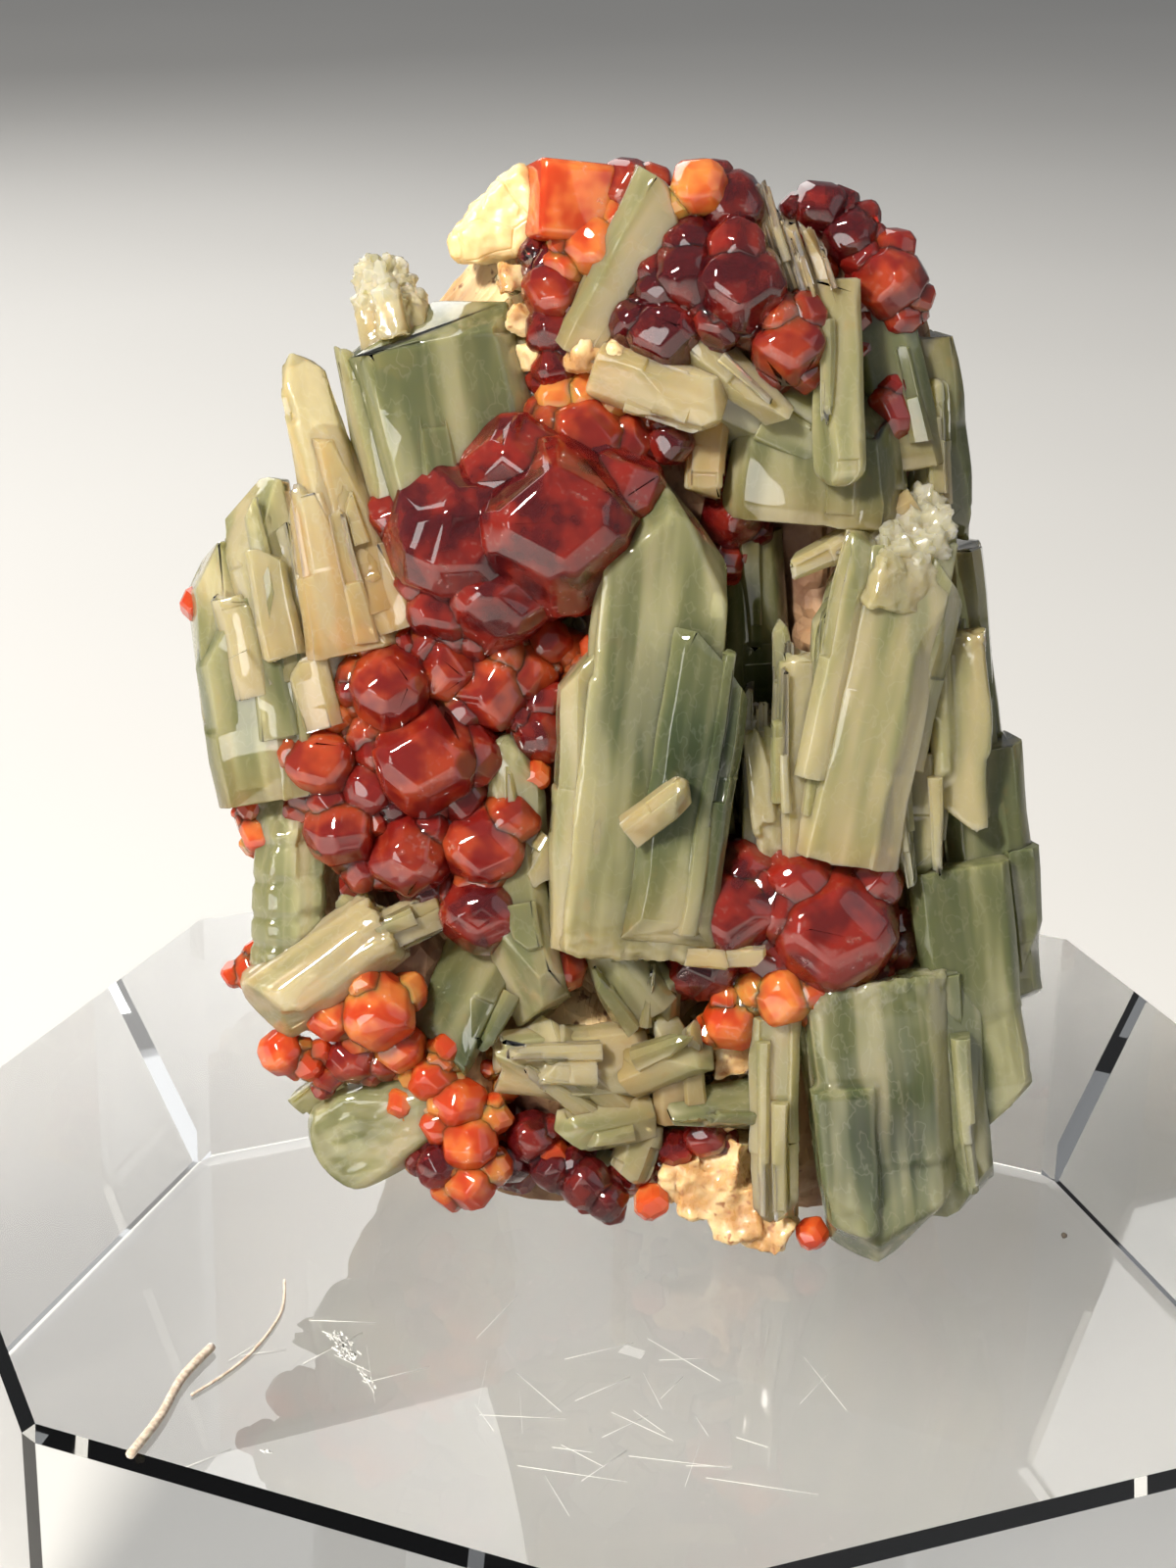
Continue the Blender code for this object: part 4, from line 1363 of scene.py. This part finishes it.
def make_garnets(name, material, garnets, twins=True, square=None):
    """A group of garnets as one piece: across, height, proud, size, tone and its turn.

    Smaller ones grow out of the sides of each larger one, so that they hang together.
    """
    growth = bmesh.new()
    growth.verts.layers.float_vector.new("growth")
    for across, height, proud, size, *rest in garnets:
        tone = rest[0] if rest else garnet_rng.uniform(0.2, 0.8)
        turn = rest[1] if len(rest) > 1 else None
        centre = on_front(across, height, proud)
        add_garnet(growth, garnet_rng, centre, size, tone, turn, square=square)
        count = (0 if size < SMALL_GARNET else 2 if size < BIG_GARNET else 4) if twins else 0
        for _ in range(count):
            around = garnet_rng.uniform(0, 2 * pi)
            out = Vector((cos(around), garnet_rng.uniform(-0.15, 0.5), sin(around))).normalized()
            twin = size * garnet_rng.uniform(*TWIN_SIZE)
            reach = (size * 0.56 - twin * 0.22) * MM
            add_garnet(
                growth, garnet_rng, centre + out * reach, twin, tone + garnet_rng.uniform(-0.2, 0.3)
            )
    finish_piece(growth, name, material, GARNET_SMOOTHING)


# The great garnets: the two largest crystals of the specimen, with those that crowd them.
make_garnets("great_garnet_left", WINE_GARNET, (
    (-6.5, 24.5, 0.6, 4.9, 0.35, (-38, 12, 45)),
))
make_garnets("great_garnet_right", WINE_GARNET, (
    (-3.3, 25.1, 1.4, 5.3, 0.45, (-8, 4, 45)),
))
make_garnets("garnets_around_the_great_pair", WINE_GARNET, (
    (-5.3, 22.6, 0.8, 3.7, 0.5),
    (-7.0, 22.2, 0.8, 2.7, 0.6, (-25, 0, 45)),
    (-4.6, 26.9, 0.6, 2.2, 0.3),
    (-1.9, 26.4, 1.0, 1.9, 0.3),
    (-1.7, 24.0, 1.0, 2.2, 0.3),
    (-1.2, 25.3, 0.6, 1.8, 0.2),
    (-2.6, 22.9, 0.9, 1.8, 0.4),
    (-6.0, 21.2, 0.6, 2.0, 0.6),
    (0.3, 27.6, 0.5, 1.5, 0.3),
    (2.5, 24.9, -0.9, 2.2, 0.2),
    (2.2, 23.3, -1.0, 1.6, 0.6),
    (1.7, 26.4, -0.6, 1.4, 0.3),
))
make_garnets("red_garnets_above_the_great_pair", RED_GARNET, (
    (-2.4, 27.6, 0.0, 2.9, 0.5, (10, 0, 45)),
    (-3.9, 27.9, -0.1, 1.8, 0.6),
    (-1.1, 27.5, 0.2, 1.9, 0.3),
    (-0.3, 28.2, -0.1, 1.4, 0.4),
    (-5.2, 27.0, 0.0, 1.5, 0.8),
))
make_garnets("peach_garnets", ORANGE_GARNET, (
    (-3.3, 28.9, -0.1, 1.7, 0.8),
    (-2.5, 29.0, 0.1, 1.5, 0.8),
    (-1.7, 28.8, 0.1, 1.5, 0.7),
    (-4.4, 28.2, -0.2, 1.2, 0.6),
    (-7.4, 26.4, 0.0, 1.5, 0.6),
))

# The crown's garnets: a glowing orange square one, a column of mauve ones under it, and
# dark glossy ones behind the crossing blades.
make_garnets("orange_square_garnet", ORANGE_GARNET, (
    (-3.2, 34.9, -0.4, 3.9, 0.35, (3, 2, 16)),
), twins=False, square=0.64)
make_garnets("crown_orange_garnets", ORANGE_GARNET, (
    (-2.3, 33.7, 0.1, 2.1, 0.3),
    (-3.3, 33.0, 0.0, 1.6, 0.4),
    (1.0, 35.7, 0.9, 1.8, 0.7),
    (-1.6, 34.6, 0.0, 1.5, 0.2),
))
make_garnets("crown_red_garnets", RED_GARNET, (
    (-3.6, 32.2, 0.0, 2.0, 0.3),
    (-1.3, 35.3, -0.4, 2.1, 0.1),
    (4.0, 31.0, 1.4, 2.4, 0.3, (-4, 6, 45)),
    (7.3, 32.7, -0.4, 2.3, 0.3),
    (7.7, 31.6, -0.5, 1.4, 0.3),
    (6.5, 33.3, -0.6, 1.5, 0.2),
    (7.6, 28.4, -0.7, 2.1, 0.1),
    (8.2, 27.3, -0.8, 1.4, 0.3),
    (3.0, 26.9, -0.2, 1.3, 0.5),
))
make_garnets("crown_dark_garnets", WINE_GARNET, (
    (2.0, 35.0, 0.3, 2.3, 0.1),
    (2.4, 32.8, 1.6, 2.9, 0.2, (0, -6, 45)),
    (0.8, 33.0, 1.0, 2.5, 0.2),
    (1.7, 31.9, 1.3, 2.0, 0.2),
    (0.1, 31.2, 0.9, 2.6, 0.1),
    (1.4, 30.9, 0.8, 1.8, 0.1),
    (6.0, 34.0, -0.8, 1.9, 0.1),
    (5.0, 34.8, -0.9, 1.8, 0.1),
    (-3.6, 31.0, 0.0, 1.8, 0.4),
    (-3.5, 29.8, 0.0, 1.6, 0.5),
))

# The middle garnets: a heap of round red crystals left of the centre blade, each with one
# or two bright faces.
make_garnets("middle_garnets", RED_GARNET, (
    (-7.5, 17.3, 1.3, 3.5, 0.25, (4, 4, 45)),
    (-11.0, 16.9, 0.8, 2.5, 0.6, (-20, 0, 45)),
    (-10.3, 14.7, 0.9, 2.5, 0.3),
    (-8.0, 13.9, 1.0, 2.7, 0.1),
    (-8.7, 19.6, 1.3, 2.7, 0.3, (-6, -4, 45)),
    (-6.9, 20.1, 0.5, 2.5, 0.5),
    (-5.4, 19.4, 0.5, 2.7, 0.5),
    (-4.3, 19.9, 0.4, 2.0, 0.6),
    (-5.5, 14.3, 1.0, 2.9, 0.35, (8, 6, 45)),
    (-6.4, 15.9, 0.8, 2.0, 0.1),
    (-9.4, 16.1, 0.9, 2.0, 0.1),
    (-9.3, 17.9, 0.8, 1.8, 0.3),
    (-11.3, 15.6, 0.4, 1.7, 0.3),
    (-6.4, 18.7, 0.7, 1.8, 0.3),
    (-9.6, 13.3, 0.6, 1.7, 0.1),
    (-6.8, 21.3, 0.4, 1.6, 0.7),
    (-7.6, 20.9, 0.8, 1.5, 0.5),
    (-2.9, 10.2, 1.0, 1.8, 0.6),
    (-3.5, 20.9, 0.3, 1.5, 0.5),
))
make_garnets("middle_wine_garnets", WINE_GARNET, (
    (-5.6, 12.1, 1.1, 2.8, 0.4, (4, 10, 45)),
    (-3.7, 18.0, 0.8, 1.9, 0.5),
    (-3.6, 19.0, 0.5, 1.6, 0.5),
    (-6.7, 14.9, 0.6, 1.7, 0.0),
    (-7.6, 12.6, 0.6, 1.8, 0.1),
    (-5.0, 16.3, 0.3, 1.8, 0.1),
))
make_garnets("middle_orange_garnets", ORANGE_GARNET, (
    (-10.5, 18.5, 0.7, 1.5, 0.1),
    (-9.3, 21.1, 0.7, 1.5, 0.3),
    (-8.7, 22.3, 0.5, 1.5, 0.4),
    (-10.4, 21.0, 0.4, 1.2, 0.4),
    (-9.9, 20.2, 0.4, 1.0, 0.3),
    (-3.9, 16.7, 1.0, 1.1, 0.1),
    (-5.6, 16.6, 0.5, 1.1, 0.4),
    (-5.2, 21.2, 0.4, 1.2, 0.2),
    (-10.9, 22.3, 0.3, 0.9, 0.4),
    (-11.4, 21.6, 0.3, 0.8, 0.4),
))

# The left edge's garnets: orange crystals strung down the outline and two lumps.
make_garnets("left_orange_garnets", ORANGE_GARNET, (
    (-9.0, 8.7, 1.5, 2.6, 0.3),
    (-10.5, 8.5, 1.3, 1.9, 0.2),
    (-8.3, 7.3, 1.1, 1.7, 0.3),
    (-12.3, 6.9, 0.9, 1.6, 0.1),
    (-11.4, 6.6, 0.9, 1.3, 0.2),
    (-13.4, 9.5, 0.4, 1.4, 0.0),
    (-13.3, 14.9, -0.3, 1.3, 0.1),
    (-13.1, 14.1, -0.2, 1.5, 0.2),
    (-15.4, 21.3, -1.6, 1.2, 0.0),
))
make_garnets("left_red_garnets", RED_GARNET, (
    (-9.9, 6.8, 0.9, 1.8, 0.2),
    (-10.8, 6.1, 0.7, 1.3, 0.3),
    (-9.0, 6.6, 0.8, 1.4, 0.3),
))

# The lower pair: two wine red garnets side by side, mauve where their faces catch the sky,
# rimmed with small ones, and the salmon pink ones below them.
make_garnets("lower_garnet_left", WINE_GARNET, (
    (2.7, 12.5, 1.6, 3.3, 0.6, (0, 0, 45)),
))
make_garnets("lower_garnet_right", WINE_GARNET, (
    (6.2, 11.9, 1.2, 4.5, 0.7, (6, 4, 45)),
))
make_garnets("garnets_around_the_lower_pair", WINE_GARNET, (
    (1.9, 10.5, 1.0, 2.6, 0.3),
    (6.9, 10.2, 0.8, 2.8, 0.2),
    (4.6, 12.3, 1.2, 2.6, 0.7),
    (4.2, 10.8, 1.2, 2.3, 0.5),
    (5.3, 13.4, 1.0, 1.9, 0.8),
    (4.4, 13.6, 0.8, 1.5, 0.7),
    (8.3, 10.9, 0.4, 1.9, 0.1),
))
make_garnets("salmon_garnets", ORANGE_GARNET, (
    (4.6, 9.8, 1.9, 2.1, 0.5),
    (5.4, 9.9, 1.7, 1.9, 0.4),
    (3.8, 9.9, 1.7, 1.5, 0.5),
    (2.9, 8.6, 1.4, 1.9, 0.2),
    (3.4, 9.2, 1.4, 1.4, 0.3),
    (6.0, 0.9, 1.0, 1.1, 0.2),
))

# The column and the base: a string of small orange red garnets down to the foot, and
# darker ones along the base.
make_garnets("column_garnets", ORANGE_GARNET, (
    (-7.2, 6.2, 1.0, 1.7, 0.1),
    (-6.3, 5.4, 1.2, 1.9, 0.1),
    (-5.9, 4.1, 1.4, 2.0, 0.2),
    (-6.9, 4.6, 1.1, 1.5, 0.2),
    (-5.1, 4.9, 1.1, 1.3, 0.3),
    (-5.1, 3.2, 1.3, 1.4, 0.4),
    (-6.7, 7.2, 0.9, 1.3, 0.2),
    (-5.8, 2.7, 1.5, 1.7, 0.2),
    (-6.5, 2.3, 1.2, 1.3, 0.1),
    (-3.0, 3.4, 0.8, 1.1, 0.0),
    (0.4, 1.9, 1.0, 1.2, 0.6),
))
make_garnets("base_garnets", WINE_GARNET, (
    (-6.9, 3.2, 1.2, 1.7, 0.3),
    (-3.8, 4.0, 0.7, 1.7, 0.3),
    (-4.5, 3.0, 0.6, 1.4, 0.3),
    (-3.0, 2.9, 0.8, 1.5, 0.3),
    (-1.9, 2.6, 1.0, 1.8, 0.2),
    (-1.2, 2.0, 1.0, 1.5, 0.2),
    (-0.2, 2.9, 0.6, 1.4, 0.3),
    (2.2, 4.2, 0.6, 1.6, 0.6),
    (1.2, 3.6, 0.6, 1.3, 0.5),
))

# The garnets on the back, which the picture doesn't show: a few of the same kind.
BACK_GARNETS = (
    (-3.0, 19.0, 3.6),
    (-5.2, 21.5, 2.6),
    (4.4, 5.6, 3.0),
    (-8.6, 12.0, 2.8),
    (4.0, 25.6, 2.6),
)


def make_back_garnets():
    """Red garnets half sunk in the back of the rock."""
    growth = bmesh.new()
    growth.verts.layers.float_vector.new("growth")
    for across, height, size in BACK_GARNETS:
        tone = garnet_rng.uniform(0.2, 0.6)
        add_garnet(growth, garnet_rng, on_back(across, height), size, tone)
    finish_piece(growth, "back_garnets", RED_GARNET, GARNET_SMOOTHING)


make_back_garnets()

# The druse. Between the named garnets the rock is covered by hundreds of tiny ones, a
# millimetre or less across. Each sits on the rock's own surface.
DRUSE_ZONES = (
    ("upper_druse", RED_GARNET, (-5.0, 25.0, 3.6, 3.4), 60, (0.8, 1.9)),
    ("middle_upper_druse", RED_GARNET, (-5.0, 20.6, 3.4, 2.2), 70, (0.7, 1.7)),
    ("middle_druse", WINE_GARNET, (-8.3, 16.3, 3.3, 3.8), 110, (0.7, 1.8)),
    ("column_druse", ORANGE_GARNET, (-6.6, 5.0, 2.0, 3.4), 50, (0.5, 1.3)),
    ("base_druse", RED_GARNET, (-2.5, 2.6, 5.0, 1.6), 60, (0.5, 1.3)),
    ("crown_druse", WINE_GARNET, (0.0, 33.0, 4.2, 2.0), 60, (0.6, 1.6)),
    ("right_crown_druse", RED_GARNET, (6.4, 32.0, 1.6, 1.6), 24, (0.6, 1.4)),
    ("lower_pair_druse", WINE_GARNET, (4.4, 11.6, 3.6, 2.2), 50, (0.6, 1.5)),
)
BACK_DRUSE_ZONES = (
    ("back_upper_druse", RED_GARNET, (-3.6, 20.6, 4.0, 4.0), 60, (0.5, 1.6)),
    ("back_lower_druse", RED_GARNET, (4.0, 6.0, 3.6, 3.6), 50, (0.5, 1.5)),
    ("back_left_druse", ORANGE_GARNET, (-8.4, 11.0, 2.2, 4.0), 40, (0.5, 1.4)),
    ("back_top_druse", WINE_GARNET, (3.0, 26.0, 3.6, 2.6), 40, (0.5, 1.5)),
)


def on_surface(tree, across, height, side):
    """Where a level line meets the rock, from in front (-1) or from behind (1), or nothing."""
    start = Vector((across * MM, side * 0.03, height * MM + BLOCK_TOP))
    return tree.ray_cast(start, Vector((0, -side, 0)))[0]


def make_druse(zones, side):
    """Scatter tiny garnets evenly over a zone of the rock."""
    surface = BVHTree.FromObject(rock, bpy.context.evaluated_depsgraph_get())
    for name, material, (across, height, wide, tall), count, (small, large) in zones:
        growth = bmesh.new()
        growth.verts.layers.float_vector.new("growth")
        for _ in range(count):
            turn, reach = garnet_rng.uniform(0, 2 * pi), sqrt(garnet_rng.random())
            place = on_surface(
                surface, across + wide * reach * cos(turn), height + tall * reach * sin(turn), side
            )
            size = garnet_rng.uniform(small, large)
            if place:
                add_garnet(growth, garnet_rng, place, size, garnet_rng.uniform(0, 1), steps=0)
        finish_piece(growth, name, material, GARNET_SMOOTHING)


make_druse(DRUSE_ZONES, -1)
make_druse(BACK_DRUSE_ZONES, 1)

# The small pale grains. Little white, grey and cream bits of diopside sit in the gaps
# between the garnets, on the rock under the lower pair and along the base.
GRAIN_ZONES = (
    ((-3.4, 21.8, 1.6, 1.3), 16, (0.4, 0.9), 0.6),
    ((-6.4, 19.0, 1.2, 0.8), 6, (0.4, 0.8), 0.6),
    ((-1.6, 27.0, 1.6, 0.8), 8, (0.4, 0.9), 0.7),
    ((-8.0, 12.6, 2.6, 1.0), 12, (0.4, 0.9), 0.5),
    ((2.6, 3.4, 2.6, 2.2), 34, (0.5, 1.3), 0.9),
    ((3.0, 7.0, 1.2, 2.0), 16, (0.5, 1.1), 0.9),
    ((-0.4, 2.6, 4.0, 1.4), 20, (0.4, 1.0), 0.8),
    ((3.6, 12.0, 2.4, 1.6), 14, (0.3, 0.8), 0.6),
    ((-4.4, 30.6, 0.8, 2.4), 16, (0.4, 1.0), 0.9),
    ((0.0, 30.0, 2.0, 1.6), 18, (0.4, 1.1), 0.8),
    ((5.5, 35.0, 3.4, 0.9), 26, (0.3, 0.9), 0.4),
    ((5.8, 14.2, 2.4, 0.8), 22, (0.4, 1.0), 0.9),
    ((-10.4, 20.6, 1.6, 1.6), 16, (0.4, 1.0), 0.9),
)
PAIR_CHIPS = (
    ((1.2, 11.5, 3.0), (2.7, 11.4, 3.0), 0.75),
    ((2.6, 11.5, 2.9), (3.9, 11.6, 2.9), 0.7),
)


def make_grains():
    """Short stubby prisms pointing outwards at all angles, and two chips on the lower pair."""
    surface = BVHTree.FromObject(rock, bpy.context.evaluated_depsgraph_get())
    growth = bmesh.new()
    growth.verts.layers.float_vector.new("grain")
    growth.verts.layers.float_vector.new("growth")
    for (across, height, wide, tall), count, (small, large), out in GRAIN_ZONES:
        for _ in range(count):
            turn, reach = crystal_rng.uniform(0, 2 * pi), sqrt(crystal_rng.random())
            foot = on_surface(
                surface, across + wide * reach * cos(turn), height + tall * reach * sin(turn), -1
            )
            size = crystal_rng.uniform(small, large)
            aim = Vector((crystal_rng.uniform(-1, 1), -out, crystal_rng.uniform(-1, 1))).normalized()
            green, stain = crystal_rng.uniform(-0.6, 0.5), crystal_rng.uniform(0, 0.7)
            if foot:
                grow_diopside(
                    growth, crystal_rng, foot - aim * size * 0.5 * MM, foot + aim * size * 1.2 * MM,
                    size, size * 0.8, green=green, cloud=0.6, stain=stain,
                    tips=((0.1, crystal_rng.uniform(-45, 45), crystal_rng.uniform(-30, 30)),),
                )
    for foot, head, width in PAIR_CHIPS:
        grow_diopside(
            growth, crystal_rng, on_front(*foot), on_front(*head), width, width * 0.7,
            green=-0.3, cloud=0.8, stain=0.3,
        )
    finish_piece(growth, "pale_grains", DIOPSIDE, DIOPSIDE_SMOOTHING)


make_grains()

# What lies on the block's top: a short thick fibre and a long thin one, two scuffs in the
# polish and a dark speck of dust. They are dirt and wear that came with the object.
THICK_FIBRE = ((-13.9, -14.6), (-14.6, -16.4), (-15.0, -18.6), (-15.6, -20.6))
THIN_FIBRE = ((-12.0, -10.3), (-11.9, -12.3), (-12.5, -14.5), (-13.3, -16.0), (-14.2, -17.2))
THICK_FIBRE_RADIUS = 0.15
THIN_FIBRE_RADIUS = 0.05
SPECK_AT = (15.0, -6.3)
SPECK_SIZE = 0.22
SCUFFS = (
    ((-10.1, -13.3), (-9.3, -14.9), 60, 0.3, 0.25, (0.08, 0.35), (0.03, 0.08)),
    ((-9.0, -15.4), (-8.5, -16.5), 16, 0.2, 0.25, (0.08, 0.3), (0.02, 0.06)),
    ((-9.0, -15.6), (-7.8, -18.0), 2, 0.05, 0.05, (1.2, 1.6), (0.012, 0.02)),
    ((-11.6, -20.0), (-11.4, -20.1), 6, 0.08, 0.3, (0.1, 0.25), (0.03, 0.06)),
    ((-14.0, -12.5), (7.0, -19.0), 36, 5.0, 0.9, (1.0, 3.5), (0.004, 0.008)),
)


def fibre_finish():
    """Tan lint, matt and a little fuzzy."""
    material, tree, shader = new_material(
        "tan_lint", {"Roughness": 0.8, "Sheen Weight": 0.4, "Subsurface Weight": 0.2}
    )
    shader.inputs["Subsurface Scale"].default_value = 0.1 * MM
    place = add_node(tree, "ShaderNodeTexCoord").outputs["Object"]
    twist = noise_of(tree, place, 6000.0, 2.0)
    colour = mix_colour(tree, ramp(tree, twist, 0.4, 0.6), (0.66, 0.56, 0.44), (0.46, 0.36, 0.27))
    tree.links.new(colour, shader.inputs["Base Color"])
    raise_surface(tree, shader, twist, 0.5, 0.03 * MM)
    return material


def scuff_finish():
    """Fine white scratches where the polish is torn."""
    material, tree, shader = new_material("torn_polish", {"Roughness": 0.35})
    place = add_node(tree, "ShaderNodeTexCoord").outputs["Object"]
    grain = noise_of(tree, place, 9000.0, 2.0)
    colour = mix_colour(tree, grain, (0.75, 0.75, 0.72), (0.95, 0.95, 0.92))
    tree.links.new(colour, shader.inputs["Base Color"])
    return material


def finish_mark(growth, name, material):
    """Turn a mark on the block into a piece that lies on it."""
    mesh = bpy.data.meshes.new(name)
    bmesh.ops.recalc_face_normals(growth, faces=growth.faces)
    growth.to_mesh(mesh)
    growth.free()
    mesh.materials.append(material)
    mesh.shade_smooth()
    piece = bpy.data.objects.new(name, mesh)
    bpy.context.scene.collection.objects.link(piece)
    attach(piece, "root")


def along_route(route, share):
    """A point on a smooth curve through the route's points."""
    reach = share * (len(route) - 1)
    index = min(int(reach), len(route) - 2)
    before, after = max(index - 1, 0), min(index + 2, len(route) - 1)
    a, b, c, d = (Vector(route[i]) for i in (before, index, index + 1, after))
    t = reach - index
    return b + ((c - a) * t + (a * 2 - b * 5 + c * 4 - d) * t**2 + (b * 3 - a - c * 3 + d) * t**3) / 2


def lay_fibre(name, route, radius, steps, material):
    """A fibre lying on the block: a round section carried along its route."""
    growth = bmesh.new()
    bmesh.ops.create_circle(growth, cap_ends=True, segments=8, radius=radius)
    growth.faces.ensure_lookup_table()
    cap = growth.faces[0]
    for step in range(steps + 1):
        share = step / steps
        place = along_route(route, share)
        ahead = along_route(route, min(1.0, share + 0.01)) - along_route(route, max(0.0, share - 0.01))
        lift = radius * 1.05 + 0.02
        facing = Vector((ahead.x, ahead.y, 0)).normalized()
        turn = facing.to_track_quat("Z", "Y").to_matrix().to_4x4()
        where = Matrix.Translation((place.x, place.y, lift + BLOCK_TOP / MM)) @ turn
        if step:
            grown = bmesh.ops.extrude_face_region(growth, geom=[cap])["geom"]
            new_cap = [part for part in grown if isinstance(part, bmesh.types.BMFace)][0]
            if step > 1:
                bmesh.ops.delete(growth, geom=[cap], context="FACES_ONLY")
            bmesh.ops.transform(growth, matrix=where @ last.inverted(), verts=new_cap.verts)
            cap = new_cap
        else:
            bmesh.ops.transform(growth, matrix=where, verts=cap.verts)
        last = where
    bmesh.ops.scale(growth, vec=(MM, MM, MM), verts=growth.verts)
    finish_mark(growth, name, material)


def lay_scuffs():
    """Raised hairs of torn plastic, strewn along the line of each scuff, and fine scratches."""
    mark_rng = random.Random(8)
    growth = bmesh.new()
    for start, end, count, spread, sway, lengths, widths in SCUFFS:
        start, end = Vector(start), Vector(end)
        line = (end - start).normalized()
        for _ in range(count):
            aside = Vector((-line.y, line.x)) * mark_rng.gauss(0, spread / 2)
            middle = start.lerp(end, mark_rng.random()) + aside
            length, width = mark_rng.uniform(*lengths), mark_rng.uniform(*widths)
            turn = line.angle_signed(Vector((1, 0))) + mark_rng.gauss(0, sway)
            place = Matrix.Translation((middle.x, middle.y, BLOCK_TOP / MM + 0.03))
            place = place @ Matrix.Rotation(turn, 4, "Z")
            flat = Matrix.Diagonal((length, width, 0.02, 1))
            bmesh.ops.create_cube(growth, size=1.0, matrix=place @ flat)
    bmesh.ops.scale(growth, vec=(MM, MM, MM), verts=growth.verts)
    finish_mark(growth, "scuffs", scuff_finish())


def lay_speck():
    """A dark crumb of dust."""
    growth = bmesh.new()
    place = Matrix.Translation((*SPECK_AT, BLOCK_TOP / MM + SPECK_SIZE / 2))
    bmesh.ops.create_icosphere(growth, subdivisions=2, radius=SPECK_SIZE / 2, matrix=place)
    for vert in growth.verts:
        vert.co += noise.noise_vector(vert.co * 9) * 0.03
    bmesh.ops.scale(growth, vec=(MM, MM, MM), verts=growth.verts)
    material, tree, shader = new_material("dark_dust", {"Roughness": 0.9})
    place = add_node(tree, "ShaderNodeTexCoord").outputs["Object"]
    colour = mix_colour(
        tree, noise_of(tree, place, 9000.0), (0.03, 0.025, 0.02), (0.10, 0.08, 0.06)
    )
    tree.links.new(colour, shader.inputs["Base Color"])
    finish_mark(growth, "dust_speck", material)


LINT = fibre_finish()
lay_fibre("thick_fibre", THICK_FIBRE, THICK_FIBRE_RADIUS, 16, LINT)
lay_fibre("thin_fibre", THIN_FIBRE, THIN_FIBRE_RADIUS, 30, LINT)
lay_scuffs()
lay_speck()

# The floor: a wide plain pale surface that runs past the picture's top.
FLOOR_SIZE = 6.0
FLOOR_GAP = 0.05


def make_floor():
    """A flat sheet just under the block, matt and nearly white."""
    growth = bmesh.new()
    bmesh.ops.create_grid(growth, x_segments=1, y_segments=1, size=FLOOR_SIZE / 2)
    bmesh.ops.translate(growth, vec=(0, 0, -FLOOR_GAP * MM), verts=growth.verts)
    mesh = bpy.data.meshes.new("floor")
    growth.to_mesh(mesh)
    growth.free()
    material, tree, shader = new_material("pale_floor", {"Roughness": 0.6})
    place = add_node(tree, "ShaderNodeTexCoord").outputs["Object"]
    colour = mix_colour(
        tree, noise_of(tree, place, 14.0, 1.0), (0.58, 0.575, 0.56), (0.62, 0.615, 0.60)
    )
    tree.links.new(colour, shader.inputs["Base Color"])
    mesh.materials.append(material)
    floor = bpy.data.objects.new("floor", mesh)
    bpy.context.scene.collection.objects.link(floor)


make_floor()

# The camera, close in front and above, looking down on the block as the picture does.
CAMERA_PLACE = (-2.11, -92.60, 81.31)
CAMERA_TILT = 68.21
CAMERA_ROLL = 1.30
CAMERA_LENS = 64.69

camera = bpy.data.objects.new("camera", bpy.data.cameras.new("camera"))
camera.data.lens = CAMERA_LENS
camera.data.clip_start = 0.005
view_turn = Matrix.Rotation(radians(CAMERA_TILT), 4, "X")
view_turn = view_turn @ Matrix.Rotation(radians(CAMERA_ROLL), 4, "Z")
camera.matrix_world = Matrix.Translation(Vector(CAMERA_PLACE) * MM) @ view_turn
bpy.context.scene.collection.objects.link(camera)
bpy.context.scene.camera = camera

# The light: a soft window at the upper left, a wide weak one at the right, one behind to
# light the crystals through, and a pale room all round.
LIGHTS = (
    ("key", (-0.22, -0.26, 0.34), 0.07, 4.2, (1.0, 0.94, 0.85)),
    ("low", (-0.20, -0.34, 0.10), 0.14, 0.2, (1.0, 0.98, 0.95)),
    ("fill", (0.34, -0.20, 0.22), 0.40, 0.2, (0.97, 0.98, 1.0)),
    ("back", (-0.16, 0.26, 0.26), 0.34, 0.9, (1.0, 0.98, 0.95)),
)
LIGHT_AIM = Vector((0, 0, BLOCK_TOP + 0.018))
ROOM_COLOUR = (0.90, 0.92, 0.95, 1.0)
ROOM_STRENGTH = 0.23

for name, place, size, power, colour in LIGHTS:
    lamp = bpy.data.lights.new(name, "AREA")
    lamp.shape = "DISK"
    lamp.size = size
    lamp.energy = power
    lamp.color = colour
    light = bpy.data.objects.new(name, lamp)
    light.location = place
    light.rotation_euler = (LIGHT_AIM - Vector(place)).to_track_quat("-Z", "Y").to_euler()
    bpy.context.scene.collection.objects.link(light)

room = bpy.data.worlds.new("room")
room.use_nodes = True
room.node_tree.nodes["Background"].inputs["Color"].default_value = ROOM_COLOUR
room.node_tree.nodes["Background"].inputs["Strength"].default_value = ROOM_STRENGTH
bpy.context.scene.world = room

bpy.context.scene.view_settings.view_transform = "Standard"

bpy.context.view_layer.update()
